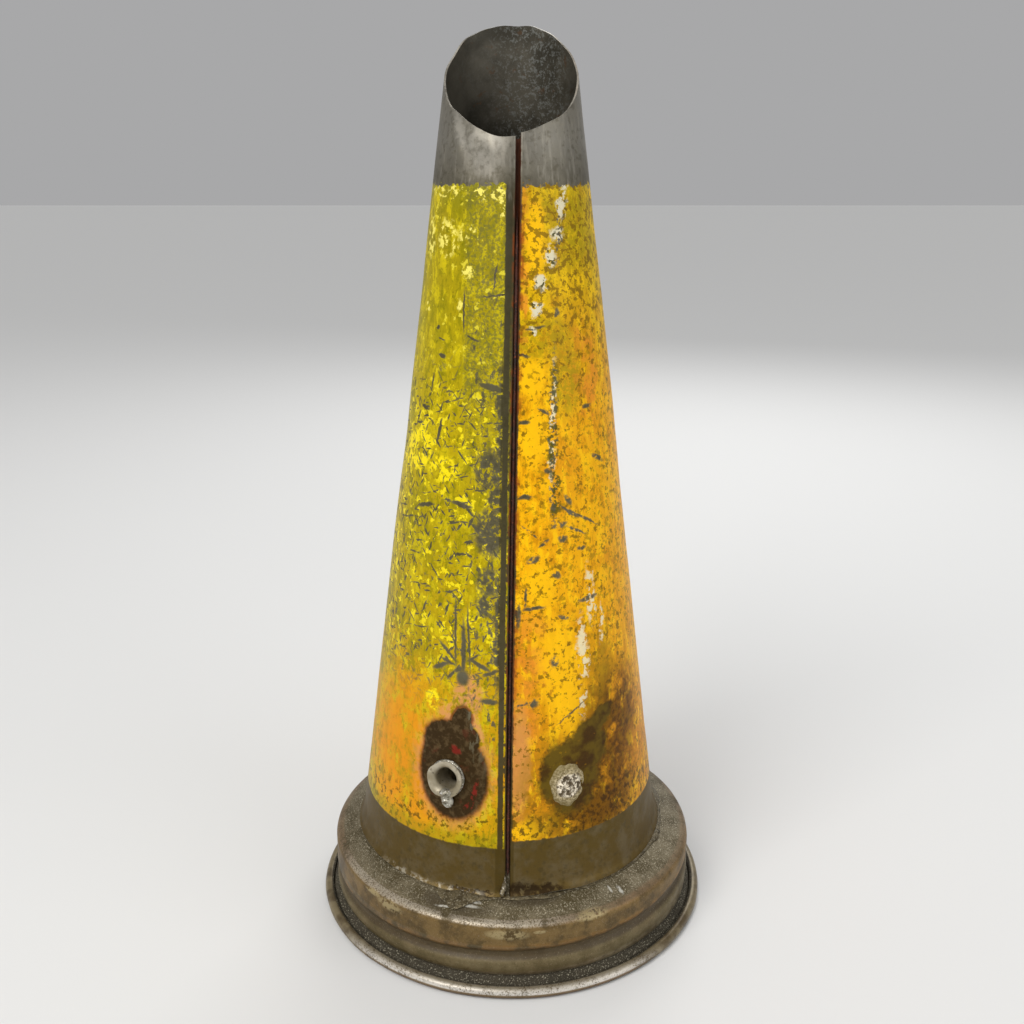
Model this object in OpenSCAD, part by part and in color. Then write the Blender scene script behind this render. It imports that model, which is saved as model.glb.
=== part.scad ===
// Screw-on tinplate pouring spout for an oil bottle: a rolled cone with a lock seam and an oblique
// mouth, soldered to a pressed screw collar, with an air vent soldered through its side.
// Origin: centre of the hem's underside. +Z runs up the spout and the lock seam faces -Y.
// Profiles are drawn as [radius, height] pairs and turned about Z.

/* [Overall] */
// Height from the hem's underside to the top of the lip
spout_height = 150; // [118:1:185]
// Outer diameter of the collar's wall
collar_d = 65; // [54:0.5:80]
// Thickness of the tinplate
sheet = 0.28; // [0.2:0.01:0.36]

/* [Cone] */
// Outer diameter of the cone at the top of the lip
lip_d = 18.4; // [15:0.2:24]
// Angle of the mouth's cut to the horizontal
mouth_angle = 40.4; // [20:0.1:46]
// Length of the turned-out foot that lies on the collar
foot_l = 0.5; // [0.3:0.05:0.8]
// Radius of the bend above the foot
foot_bend = 0.8; // [0.5:0.05:1.2]

/* [Lock seam] */
// Width of the folded layers inside the cone
seam_w = 2.8; // [2:0.1:4]
// Width of the open groove on the outside
seam_groove = 0.6; // [0.3:0.05:0.8]
// Lean of the seam from the vertical
seam_lean = 0.6; // [0:0.1:2]
// Height at which the leaning seam crosses the front
seam_cross_h = 34; // [20:1:60]
// Gap between the folded layers
fold_gap = 0.05; // [0.03:0.01:0.1]
// Height where the solder in the groove stops below the mouth
seam_solder_top = 118; // [90:1:119]

/* [Screw collar] */
// Height of the shoulder where the cone meets it
shoulder_h = 14.3; // [12.5:0.1:17]
// Distance from the cone's wall to the collar's wall at that height
shoulder_w = 5.6; // [5:0.1:7]
// Slope of the shoulder
shoulder_slope = 20; // [10:1:26]
// Outer radius of the corner between shoulder and wall
corner_r = 1.3; // [0.8:0.1:1.6]
// Depth of the pressed thread
thread_depth = 0.75; // [0.4:0.05:1]
// Height of the middle of the thread
thread_h = 6.4; // [6.2:0.1:6.8]
// Length of the thread's flat crest
thread_crest = 0.8; // [0.4:0.1:1.2]
// Length of each slope beside the crest
thread_flank = 1.2; // [1:0.1:1.4]
// How far the hem stands out past the wall
hem_out = 2.5; // [2.3:0.1:3]
// Radius of the curled hem
hem_r = 0.95; // [0.8:0.05:1]
// Height of the neck that stands up inside the cone
neck_h = 4.4; // [3:0.1:6]
// Gap between neck and cone, which the solder fills
solder_gap = 0.06; // [0.04:0.01:0.1]

/* [Air vent] */
// Angle from the front to the vent, minus to the left
vent_angle = -24; // [-40:1:-18]
// Height of the vent's centre
vent_h = 33.3; // [28:0.1:45]
// Bore of the vent tube
vent_bore = 3.9; // [3:0.1:4.8]
// Wall of the vent tube
vent_wall = 0.35; // [0.25:0.05:0.5]
// How far the flared lip spreads past the tube
vent_flare = 1; // [0.8:0.05:1.3]
// Straight run of the tube inside the wall
vent_run = 2.6; // [2:0.1:4]
// Radius of the tube's bend, at its middle
vent_bend = 4; // [3.5:0.1:5]
// Length of the tube below the bend
vent_drop = 17; // [8:0.5:20]
// Clearance round the tube where it passes the cone
vent_clear = 0.05; // [0.03:0.01:0.1]

/* [Solder plug] */
// Angle from the front to the plug
plug_angle = 23; // [18:1:40]
// Height of the plug's centre
plug_h = 32.2; // [28:0.1:45]
// Hole that the plug fills
plug_bore = 3.8; // [3:0.1:4.4]
// Width of the plug's head
plug_w = 6.2; // [5.4:0.1:7]
// Height of the plug's head, taller than it is wide
plug_l = 7.4; // [7:0.1:8.4]
// How far the head stands off the cone
plug_proud = 0.7; // [0.4:0.05:1]

/* [Sealing washer] */
// Thickness of the cork washer
washer_t = 1.5; // [1:0.1:1.8]
// Clearance from the washer's edges to the collar's bends
washer_clear = 0.2; // [0.1:0.05:0.4]

/* [Hidden] */
$fn = 96;
tin = "#8d8a7c";
solder = "#c3c1b5";
arc_step = 20;               // turn between neighbouring points of a bend
past = 5;                    // how far cutting shapes reach past what they cut

// Cone: its outer radius falls evenly from the shoulder's height to the top of the lip
collar_r = collar_d / 2;
cone_foot_r = collar_r - shoulder_w;
taper = (cone_foot_r - lip_d / 2) / (spout_height - shoulder_h);
cone_angle = atan(taper);
function cone_r(z, depth = 0) = cone_foot_r - (z - shoulder_h) * taper - depth / cos(cone_angle);

// Unit vectors of the two faces that the solder joins: cone wall and collar shoulder
wall_out = [cos(cone_angle), sin(cone_angle)];
shoulder_up = [sin(shoulder_slope), cos(shoulder_slope)];
shoulder_along = [cos(shoulder_slope), -sin(shoulder_slope)];
shoulder_start = [cone_foot_r, shoulder_h];

// Point at given distances outside the cone wall and above the shoulder
function wall_shoulder(off_wall, off_shoulder) =
    let (a = wall_out * [cone_r(0), 0] + off_wall,
         b = shoulder_up * shoulder_start + off_shoulder,
         det = wall_out[0] * shoulder_up[1] - wall_out[1] * shoulder_up[0])
    [(a * shoulder_up[1] - b * wall_out[1]) / det, (b * wall_out[0] - a * shoulder_up[0]) / det];

// Point on the cone's wall, a depth inside its outer face
function on_wall(z, depth) = [cone_r(z, depth), z];

// Arc about a centre, from angle a to angle b
function arc(centre, radius, a, b) =
    let (n = max(1, ceil(abs(b - a) / arc_step)))
    [for (i = [0:n]) centre + radius * [cos(a + (b - a) * i / n), sin(a + (b - a) * i / n)]];

// Left normal of a step from p to q
function left(p, q) = let (d = (q - p) / norm(q - p)) [-d[1], d[0]];

// The line at distance d to the left of a path, with mitred corners
function beside(path, d) =
    [for (i = [0:len(path) - 1])
        let (before = left(path[max(i - 1, 0)], path[max(i, 1)]),
             after = left(path[min(i, len(path) - 2)], path[min(i + 1, len(path) - 1)]))
        path[i] + d * (before + after) / (1 + before * after)];

function backwards(list) = [for (i = [len(list) - 1:-1:0]) list[i]];

// The bend at the cone's foot: all its faces are arcs about one centre
bend_centre = wall_shoulder(foot_bend, foot_bend + sheet + solder_gap);
bend_from = 180 + cone_angle;
bend_to = 270 - shoulder_slope;
function foot_arc(depth) = arc(bend_centre, foot_bend + depth, bend_from, bend_to);
foot_top_h = bend_centre[1] + sheet;

// Middle line of the cone's sheet, from above the lip down to the tip of the foot
cone_depth = sheet / 2;
cone_tip = bend_centre - (foot_bend + cone_depth) * shoulder_up + foot_l * shoulder_along;
cone_path = concat([on_wall(spout_height + past, cone_depth)], foot_arc(cone_depth), [cone_tip]);
cone_outside = beside(cone_path, cone_depth);
cone_inside = beside(cone_path, -cone_depth);

// Middle line of the collar's sheet, from the top of the neck down to the end of the curled hem
collar_depth = 1.5 * sheet + solder_gap;
neck_top = shoulder_h + neck_h;
wall_mid_r = collar_r - sheet / 2;
corner_centre_r = collar_r - corner_r;
corner_centre_h = shoulder_h
    - (corner_r + (corner_centre_r - cone_foot_r) * shoulder_up[0]) / shoulder_up[1];
corner_centre = [corner_centre_r, corner_centre_h];
thread_half = thread_crest / 2 + thread_flank;
thread_steps = 6;
// Share of the thread's depth at a height: 1 on the crest, easing to 0 at the ends of the flanks
function thread_share(z) =
    let (u = (abs(z - thread_h) - thread_crest / 2) / thread_flank)
    u <= 0 ? 1 : u >= 1 ? 0 : (1 + cos(180 * u)) / 2;
function thread_flank_points(from, to) =
    [for (i = [0:thread_steps]) let (z = from + (to - from) * i / thread_steps)
        [wall_mid_r - thread_depth * thread_share(z), z]];
thread_line = concat(thread_flank_points(thread_h + thread_half, thread_h + thread_crest / 2),
                     thread_flank_points(thread_h - thread_crest / 2, thread_h - thread_half));
// The curled hem: flats of its outline lie hem_r from its centre, so the lowest flat is at height 0
hem_flat = cos(arc_step / 2);
hem_centre = [collar_r + hem_out - hem_r / hem_flat, hem_r];
hem_mid_r = (hem_r - sheet / 2) / hem_flat;
hem_ends_at = 500;           // angle at which the curl's own edge stops
// The gutter between the wall and the hem
gutter_in = 0.35;            // how far it bites into the wall
gutter_h = 2.65;             // height of its deepest point
gutter_slope = 0.4;          // height of each half of its slopes
gutter_shelf_h = 1.75;       // height at which it runs out to the hem
gutter_line = [[wall_mid_r, gutter_h + 2 * gutter_slope],
               [wall_mid_r - gutter_in / 2, gutter_h + gutter_slope],
               [wall_mid_r - gutter_in, gutter_h],
               [wall_mid_r - gutter_in / 2, gutter_h - gutter_slope],
               [hem_centre[0] - hem_mid_r - sheet, gutter_shelf_h]];
collar_path = concat([on_wall(neck_top, collar_depth)],
                     foot_arc(collar_depth),
                     arc(corner_centre, corner_r - sheet / 2, 90 - shoulder_slope, 0),
                     thread_line,
                     gutter_line,
                     arc(hem_centre, hem_mid_r, 180, hem_ends_at));
collar_outside = beside(collar_path, sheet / 2);
collar_inside = beside(collar_path, -sheet / 2);

// Lock seam: four layers of sheet, counted inwards from the cone's outer face
layer = sheet + fold_gap;
seam_left = -seam_groove / 2;
seam_right = seam_groove / 2;
seam_end = seam_left - seam_w;
seam_foot_h = foot_top_h + sheet;

// Air vent
vent_r = vent_bore / 2 + vent_wall;
vent_mid_r = vent_bore / 2 + vent_wall / 2;
vent_lip_h = 0.35;           // height of the tube's end before it flares
vent_fillet = 0.6;           // how far the solder spreads round the tube
vent_reach = 2;              // how far the drip of solder runs below the fillet
vent_drop_r = 0.95;          // radius of the drop at the end of the drip
vent_drop_side = 0.35;       // how far the drip strays sideways

module turned(points) {
    rotate_extrude($fn = 256) polygon(points);
}

// Space from the front inwards, between two distances across the leaning seam
module seam_slab(from, to, low, high) {
    intersection() {
        translate([0, 0, seam_cross_h]) rotate([0, seam_lean, 0])
            translate([from, -collar_d, -2 * spout_height])
                cube([to - from, collar_d, 4 * spout_height]);
        translate([-collar_d, -collar_d, low]) cube([2 * collar_d, collar_d, high - low]);
    }
}

// A strip of the seam: the part of a conical layer that lies in the slab
module seam_strip(outer_depth, inner_depth, from, to, low = seam_foot_h, high = spout_height + past) {
    intersection() {
        turned([[cone_r(low - sheet, outer_depth), low - sheet],
                [cone_r(high + sheet, outer_depth), high + sheet],
                [cone_r(high + sheet, inner_depth), high + sheet],
                [cone_r(low - sheet, inner_depth), low - sheet]]);
        seam_slab(from, to, low, high);
    }
}

// Puts its children on the cone: Z points out of the cone's face and Y up along it
module on_cone(angle, height) {
    rotate([0, 0, angle]) translate([0, -cone_r(height), height])
        rotate([90 - cone_angle, 0, 0]) children();
}

// Everything inside the cone's outer face
module cone_core() {
    turned([[0, shoulder_h], [cone_r(shoulder_h), shoulder_h],
            [cone_r(spout_height), spout_height], [0, spout_height]]);
}

// The sheet's left edge folds in and back, the right edge steps in, runs under it and hooks into it
module folded_edges() {
    seam_strip(0, 2 * layer + sheet, seam_left - sheet, seam_left);
    seam_strip(2 * layer, 2 * layer + sheet, seam_end + sheet + fold_gap, seam_left);
    seam_strip(0, 3 * layer + sheet, seam_right, seam_right + sheet);
    seam_strip(3 * layer, 3 * layer + sheet, seam_end, seam_right + sheet);
    seam_strip(layer, 3 * layer + sheet, seam_end, seam_end + sheet);
    seam_strip(layer, layer + sheet, seam_end, seam_left - sheet - fold_gap);
}

module spout_cone() {
    color("#c9a51c") difference() {
        union() {
            difference() {
                turned(concat(cone_outside, backwards(cone_inside)));
                seam_slab(seam_left, seam_right, seam_foot_h, spout_height + 2 * past);
            }
            folded_edges();
        }
        // the oblique mouth, low at the seam and high at the back
        translate([0, cone_r(spout_height), spout_height]) rotate([mouth_angle, 0, 0])
            translate([-collar_d, -2 * spout_height, 0])
                cube([2 * collar_d, 3 * spout_height, spout_height]);
        on_cone(vent_angle, vent_h)
            cylinder(r = vent_r + vent_clear, h = 2 * past, center = true);
        on_cone(plug_angle, plug_h)
            cylinder(d = plug_bore, h = 2 * past, center = true);
    }
}

module screw_collar() {
    color(tin) difference() {
        turned(concat(collar_outside, backwards(collar_inside)));
        // notch in the neck that lets the folded seam through
        seam_slab(seam_end - sheet, seam_right + 2 * sheet, seam_foot_h - sheet, neck_top + past);
    }
}

module collar_solder() {
    bends = len(foot_arc(0));
    fillet_w = 0.8;
    top = neck_top - sheet;
    color(solder) difference() {
        turned(concat([on_wall(top, sheet)],
                      [for (i = [1:bends + 1]) cone_inside[i]],
                      [cone_outside[bends + 1],
                       shoulder_start + shoulder_along * (foot_l + foot_bend + fillet_w)],
                      [for (i = [bends:-1:1]) collar_outside[i]],
                      [on_wall(top, sheet + solder_gap)]));
        seam_slab(seam_end - sheet, seam_right + 2 * sheet, seam_foot_h - sheet, neck_top + past);
    }
}

module seam_solder() {
    color("#5b2f1a")
        seam_strip(sheet / 2, 3 * layer, seam_left, seam_right,
                   neck_top, seam_solder_top);
}

// Bead where the solder of the seam ran out at the cone's foot
module seam_foot_solder() {
    lean_x = (seam_foot_h - seam_cross_h) * tan(seam_lean);
    // each drop: distance sideways from the seam, height above the shoulder, radius
    drops = [[-0.9, 2.6, 0.55], [-0.75, 1.7, 0.6], [-0.4, 0.9, 0.55]];
    color(solder) difference() {
        union() for (d = drops)
            translate([lean_x + d[0], -cone_r(shoulder_h + d[1]), shoulder_h + d[1]])
                sphere(r = d[2], $fn = 48);
        cone_core();
    }
}

// A bent tube whose outer end is flared over the solder
module vent_tube() {
    flare = arc([vent_mid_r + vent_flare - vent_wall / 2, vent_lip_h],
                vent_flare - vent_wall / 2, 180, 80);
    lip = concat([[vent_mid_r, -vent_run / 2]], flare);
    color(tin) on_cone(vent_angle, vent_h) {
        turned(concat(beside(lip, vent_wall / 2), backwards(beside(lip, -vent_wall / 2))));
        translate([0, 0, -vent_run]) linear_extrude(vent_run / 2) vent_ring();
        translate([0, -vent_bend, -vent_run]) rotate([0, -90, 0])
            rotate_extrude(angle = 90, start = 90) translate([vent_bend, 0]) vent_ring();
        translate([0, -vent_bend, -vent_run - vent_bend]) rotate([90, 0, 0])
            linear_extrude(vent_drop) vent_ring();
    }
}

module vent_ring() {
    difference() {
        circle(r = vent_r);
        circle(d = vent_bore);
    }
}

// Fillet under the vent's lip, with a drip that ends in a round drop
module vent_solder() {
    fillet_r = vent_r + vent_fillet;
    drip_r = 0.6 * vent_drop_r;
    drip_l = fillet_r + vent_reach;
    color(solder) difference() {
        on_cone(vent_angle, vent_h) difference() {
            union() {
                translate([0, 0, -past]) cylinder(r = fillet_r, h = past + vent_lip_h);
                translate([vent_drop_side, -drip_l, 0]) {
                    rotate([-90, 0, 0]) cylinder(r = drip_r, h = drip_l - vent_r);
                    sphere(r = vent_drop_r, $fn = 48);
                }
            }
            cylinder(r = vent_r, h = 3 * past, center = true);
        }
        cone_core();
    }
}

// Solder that closes a second hole, with a low domed head outside
module plug_solder() {
    cap_r = plug_w / 2;
    shift = (plug_l - plug_w) / 2;
    edge_h = plug_proud / 2;     // height at which the dome meets the head's steep edge
    dome_h = plug_proud - edge_h;
    ball_r = (plug_l * plug_l / 4 + dome_h * dome_h) / (2 * dome_h);
    color(solder) {
        difference() {
            on_cone(plug_angle, plug_h) intersection() {
                translate([0, 0, plug_proud - ball_r]) sphere(r = ball_r, $fn = 256);
                translate([0, 0, -past]) linear_extrude(2 * past) {
                    for (side = [-1, 1]) translate([0, side * shift]) circle(r = cap_r);
                    square([plug_w, 2 * shift], center = true);
                }
            }
            cone_core();
        }
        on_cone(plug_angle, plug_h) translate([0, 0, -3 * sheet])
            cylinder(d = plug_bore, h = 3 * sheet + edge_h);
    }
}

// Cork ring pressed up under the shoulder
module sealing_washer() {
    under = shoulder_start - sheet * shoulder_up;
    inner = under + shoulder_along * (foot_bend + washer_clear);
    reach = (corner_centre_r + (corner_r - sheet) * shoulder_up[0] - washer_clear - inner[0])
        / shoulder_along[0];
    outer = inner + shoulder_along * reach;
    color("#6b4a2b")
        turned([inner, outer, outer - washer_t * shoulder_up, inner - washer_t * shoulder_up]);
}

spout_cone();
screw_collar();
collar_solder();
seam_solder();
seam_foot_solder();
vent_tube();
vent_solder();
plug_solder();
sealing_washer();
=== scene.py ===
"""Looks of an old screw-on tinplate pouring spout: rolled cone, lock seam, air vent and screw collar.

Shapes are worked out in millimetres and put into the meshes in metres. Angles round the spout are
azimuths in degrees from the lock seam, positive to the right as seen from outside.
"""
import logging
import math
from dataclasses import dataclass
from enum import Enum
from itertools import product
from typing import Sequence

import bpy
import numpy as np
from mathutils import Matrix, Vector


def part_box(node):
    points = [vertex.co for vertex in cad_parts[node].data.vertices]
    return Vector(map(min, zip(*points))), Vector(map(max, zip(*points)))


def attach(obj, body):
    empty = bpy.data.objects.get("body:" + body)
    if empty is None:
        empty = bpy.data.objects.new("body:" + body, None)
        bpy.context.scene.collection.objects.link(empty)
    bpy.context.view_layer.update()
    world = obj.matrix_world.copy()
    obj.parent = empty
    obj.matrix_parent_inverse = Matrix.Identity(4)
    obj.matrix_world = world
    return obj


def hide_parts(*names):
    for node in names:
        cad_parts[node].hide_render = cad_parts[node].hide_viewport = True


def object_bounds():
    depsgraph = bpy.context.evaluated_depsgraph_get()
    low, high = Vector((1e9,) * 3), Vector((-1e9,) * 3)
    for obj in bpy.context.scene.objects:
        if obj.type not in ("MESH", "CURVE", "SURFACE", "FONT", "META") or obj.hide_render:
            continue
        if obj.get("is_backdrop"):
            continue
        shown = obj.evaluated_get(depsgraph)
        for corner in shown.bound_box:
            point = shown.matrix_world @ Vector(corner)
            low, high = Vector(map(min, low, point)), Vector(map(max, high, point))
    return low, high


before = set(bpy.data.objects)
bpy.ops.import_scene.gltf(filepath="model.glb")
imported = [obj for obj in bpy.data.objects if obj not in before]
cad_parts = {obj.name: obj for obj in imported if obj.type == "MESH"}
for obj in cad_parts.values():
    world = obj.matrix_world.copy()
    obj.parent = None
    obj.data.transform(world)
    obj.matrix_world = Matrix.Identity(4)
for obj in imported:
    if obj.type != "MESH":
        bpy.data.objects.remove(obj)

Array = np.ndarray
MM = 0.001
LOG = logging.getLogger("spout")


# ---------------------------------------------------------------- numbers on whole arrays

def ease(x: Array, low: float, high: float) -> Array:
    """Rise from 0 at low to 1 at high: 3t^2 - 2t^3 of the share t of the way.

    Args:
        x: values.
        low: value at which the rise starts.
        high: value at which it ends; below low, it falls instead.

    Returns:
        An array of shares from 0 to 1.
    """
    t = np.clip((np.asarray(x, float) - low) / (high - low), 0.0, 1.0)
    return t * t * (3.0 - 2.0 * t)


def hump(x: Array, centre: float, width: float) -> Array:
    """Bell curve exp(-((x - centre) / width)^2), 1 at its centre."""
    return np.exp(-((np.asarray(x, float) - centre) / width) ** 2)


def gap(azimuth: Array, centre: float) -> Array:
    """Signed difference of two azimuths in degrees, brought to between -180 and 180."""
    return (np.asarray(azimuth, float) - centre + 180.0) % 360.0 - 180.0


def lattice_noise(points: Array, size: float, seed: int) -> Array:
    """Value noise: a random height at each corner of a cubic lattice, blended smoothly inside a cell.

    Args:
        points: an array whose last axis is x, y, z.
        size: edge of a lattice cell, in the points' unit.
        seed: another number gives another pattern.

    Returns:
        Heights from -1 to 1, one for each point.
    """
    place = points / size
    cell = np.floor(place).astype(np.int64)
    share = place - cell
    share = share * share * (3.0 - 2.0 * share)
    total = np.zeros(points.shape[:-1])
    for corner in product((0, 1), repeat=3):
        at = cell + np.array(corner)
        mixed = at[..., 0] * 73856093 ^ at[..., 1] * 19349663 ^ at[..., 2] * 83492791 ^ seed * 2654435761
        mixed = (mixed ^ (mixed >> 13)) * 1274126177 & 0x7FFFFFFF
        height = (mixed ^ (mixed >> 16)) % 65536 / 32767.5 - 1.0
        total += height * np.prod(np.where(np.array(corner) == 1, share, 1.0 - share), axis=-1)
    return total


def rough(points: Array, size: float, seed: int, octaves: int = 3) -> Array:
    """Sum of value noises, each of half the size and half the height of the one before."""
    return sum(lattice_noise(points, size / 2 ** i, seed + i) / 2 ** i for i in range(octaves))


def arc(centre_x: float, centre_y: float, radius: float, start: float, end: float, steps: int) -> Array:
    """Points centre + radius (cos, sin) at even angles from start to end, in degrees."""
    angle = np.radians(np.linspace(start, end, steps + 1))
    return np.stack([centre_x + radius * np.cos(angle), centre_y + radius * np.sin(angle)], axis=1)


def around(radius: Array, turn: Array, height: Array, shift: Array = 0.0) -> Array:
    """Points at azimuth turn, in radians: (shift + radius sin turn, -radius cos turn, height)."""
    x, y = shift + radius * np.sin(turn), -radius * np.cos(turn)
    return np.stack(np.broadcast_arrays(x, y, height), axis=-1)


def spaced(*stretches: tuple[float, float, int]) -> Array:
    """Joined runs of even steps, each given as (start, end, steps), with no value twice."""
    runs = [np.linspace(a, b, n, endpoint=False) for a, b, n in stretches]
    return np.concatenate(runs + [np.array([stretches[-1][1]])])


# ---------------------------------------------------------------- grids to meshes

class Side(Enum):
    """Which face of a sheet a polygon belongs to; the value is its material's place in the list."""

    OUTER = 0
    INNER = 1
    EDGE = 2
    OUTER_RIGHT = 3


def quads(rows: int, columns: int, close_rows: bool = False, close_columns: bool = False) -> Array:
    """Four-corner faces between neighbouring points of a grid, numbered row by row.

    Args:
        rows: number of rows of points.
        columns: number of points in a row.
        close_rows: joins the last row to the first.
        close_columns: joins the last column to the first.

    Returns:
        An array of corner numbers, whose normal is (along a row) x (from row to row).
    """
    number = np.arange(rows * columns).reshape(rows, columns)
    if close_rows:
        number = np.vstack([number, number[:1]])
    if close_columns:
        number = np.hstack([number, number[:, :1]])
    a, b = number[:-1, :-1], number[:-1, 1:]
    c, d = number[1:, 1:], number[1:, :-1]
    return np.stack([a, b, c, d], axis=-1).reshape(-1, 4)


def normals(points: Array, close_columns: bool) -> Array:
    """Unit normals of a grid: (slope along a row) x (slope from row to row), by central differences."""
    if close_columns:
        along = np.roll(points, -1, axis=1) - np.roll(points, 1, axis=1)
    else:
        along = np.gradient(points, axis=1)
    across = np.cross(along, np.gradient(points, axis=0))
    return across / np.maximum(np.linalg.norm(across, axis=-1, keepdims=True), 1e-12)


def sheet_solid(middle: Array, thickness: float, close_columns: bool) -> tuple[Array, Array, Array]:
    """A closed wall of even thickness: the middle surface moved half of it out and half of it in.

    Args:
        middle: grid of points, rows by columns by 3, whose normals point outwards.
        thickness: the sheet's thickness.
        close_columns: the rows run all the way round.

    Returns:
        Points, faces, and the Side of each face.
    """
    rows, columns = middle.shape[:2]
    out = normals(middle, close_columns) * thickness / 2
    points = np.concatenate([(middle + out).reshape(-1, 3), (middle - out).reshape(-1, 3)])
    outer = quads(rows, columns, close_columns=close_columns)
    inner = outer[:, ::-1] + rows * columns
    number = np.arange(rows * columns).reshape(rows, columns)
    rims = [number[0], number[-1][::-1]] if close_columns else [
        np.concatenate([number[0], number[1:, -1], number[-1, -2::-1], number[-2:0:-1, 0]])]
    edges = []
    for rim in rims:
        after = np.roll(rim, -1)
        edges.append(np.stack([rim, rim + rows * columns, after + rows * columns, after], axis=1))
    edge = np.concatenate(edges)
    faces = np.concatenate([outer, inner, edge])
    sides = np.concatenate([np.full(len(outer), Side.OUTER.value), np.full(len(inner), Side.INNER.value),
                            np.full(len(edge), Side.EDGE.value)])
    return points, faces, sides


def make_mesh(name: str, points: Array, faces: Array, sides: Array | None = None,
              sharp: float = 40.0) -> bpy.types.Object:
    """Puts points in millimetres and four-corner faces into a new smooth-shaded mesh object.

    Args:
        name: the piece's name.
        points: rows of x, y, z.
        faces: rows of four corner numbers; two equal neighbours make a triangle.
        sides: material number of each face, or None for all 0.
        sharp: edges that turn by more than this many degrees are drawn sharp.

    Returns:
        The object, at the origin, with its place in its mesh.
    """
    mesh = bpy.data.meshes.new(name)
    unique = faces != np.roll(faces, 1, axis=1)
    counts = unique.sum(axis=1)
    whole = counts >= 3
    corners = faces[whole][unique[whole]]
    counts = counts[whole]
    mesh.vertices.add(len(points))
    mesh.vertices.foreach_set("co", (points * MM).astype(np.float32).ravel())
    mesh.loops.add(len(corners))
    mesh.loops.foreach_set("vertex_index", corners.astype(np.int32))
    mesh.polygons.add(len(counts))
    mesh.polygons.foreach_set("loop_start", np.concatenate([[0], np.cumsum(counts)[:-1]]).astype(np.int32))
    if sides is not None:
        mesh.polygons.foreach_set("material_index", sides[whole].astype(np.int32))
    mesh.update(calc_edges=True)
    mesh.validate()
    mesh.shade_smooth()
    mesh.set_sharp_from_angle(angle=math.radians(sharp))
    piece = bpy.data.objects.new(name, mesh)
    bpy.context.scene.collection.objects.link(piece)
    return piece


def closed_grid(points: Array) -> tuple[Array, Array]:
    """Faces of a tube of rings whose first and last rings are closed by a point at their middle.

    Args:
        points: rings by points round a ring by 3.

    Returns:
        All points, with the two poles last, and the faces.
    """
    rings, sides = points.shape[:2]
    poles = points[[0, -1]].mean(axis=1)
    number = np.arange(rings * sides).reshape(rings, sides)
    first, last = number[0], number[-1]
    low, high = rings * sides, rings * sides + 1
    cap_low = np.stack([np.full(sides, low), np.full(sides, low), np.roll(first, -1), first], axis=1)
    cap_high = np.stack([np.full(sides, high), np.full(sides, high), last, np.roll(last, -1)], axis=1)
    faces = np.concatenate([quads(rings, sides, close_columns=True), cap_low, cap_high])
    return np.concatenate([points.reshape(-1, 3), poles]), faces


# ---------------------------------------------------------------- places taken from the frame

@dataclass(frozen=True)
class Measures:
    """Sizes of the spout that several pieces share, in millimetres, and the curves worked out from them."""

    top: float
    hem_r: float
    wall_r: float = 32.5
    shoulder_h: float = 14.3
    foot_r: float = 26.9
    lip_r: float = 9.2
    sheet: float = 0.28
    fold_gap: float = 0.05
    groove: float = 0.6
    seam_w: float = 2.8
    mouth_angle: float = 40.4
    seam_cross_h: float = 34.0
    seam_lean: float = 0.0101

    @property
    def taper(self) -> float:
        """How much the cone's radius shrinks for each millimetre of height."""
        return (self.foot_r - self.lip_r) / (self.top - self.shoulder_h)

    @property
    def slant(self) -> float:
        """Angle of the cone's wall to the vertical, in radians."""
        return math.atan(self.taper)

    def cone_r(self, height: Array) -> Array:
        """Outer radius of the cone: it falls evenly with height."""
        return self.foot_r - (height - self.shoulder_h) * self.taper

    def seam_x(self, height: Array) -> Array:
        """Sideways place of the seam's groove: a straight line that leans to the right."""
        return (height - self.seam_cross_h) * self.seam_lean

    def shift_x(self, height: Array) -> Array:
        """Sideways place of the cone's axis: it starts left of the collar's centre and leans back."""
        return -0.55 * (1.0 - ease(height, 20.0, self.top))

    def mouth_h(self, azimuth: Array) -> Array:
        """Height at which the mouth's plane meets the cone's wall at an azimuth.

        The plane rises by tan(mouth_angle) for each millimetre towards the back and meets the back of
        the wall at the top; the wall's radius there depends on the height, which gives the fraction.
        """
        rise = math.tan(math.radians(self.mouth_angle))
        towards_back = -np.cos(np.radians(azimuth))
        level = self.top - rise * self.lip_r
        wide = self.foot_r + self.shoulder_h * self.taper
        return (level + rise * wide * towards_back) / (1.0 + rise * self.taper * towards_back)

    def on_cone(self, azimuth: float, height: float, local: Array) -> Array:
        """Moves points from a place on the cone's face to the spout's frame.

        Args:
            azimuth: of the place.
            height: of the place.
            local: points whose x runs to the right, y up along the wall and z out of it.

        Returns:
            The same points in the spout's frame.
        """
        turn = math.radians(azimuth)
        right = np.array([math.cos(turn), math.sin(turn), 0.0])
        level = np.array([math.sin(turn), -math.cos(turn), 0.0])
        up = math.cos(self.slant) * np.array([0.0, 0.0, 1.0]) - math.sin(self.slant) * level
        out = math.cos(self.slant) * level + math.sin(self.slant) * np.array([0.0, 0.0, 1.0])
        base = level * self.cone_r(height) + np.array([float(self.shift_x(height)), 0.0, height])
        return base + local[..., :1] * right + local[..., 1:2] * up + local[..., 2:] * out


@dataclass(frozen=True)
class Dent:
    """A shallow hollow, or with a negative depth a bulge, in the cone's wall."""

    azimuth: float
    height: float
    width: float
    length: float
    depth: float
    lean: float = 0.0

    def push(self, across: Array, height: Array) -> Array:
        """Inward push: depth times a bell that is width across, length along and tilted by lean.

        Args:
            across: distance round the wall from the dent's azimuth, in millimetres.
            height: heights of the points.
        """
        rise = height - self.height
        sideways = across * math.cos(self.lean) - rise * math.sin(self.lean)
        along = across * math.sin(self.lean) + rise * math.cos(self.lean)
        return self.depth * np.exp(-(sideways / self.width) ** 2 - (along / self.length) ** 2)


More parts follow.
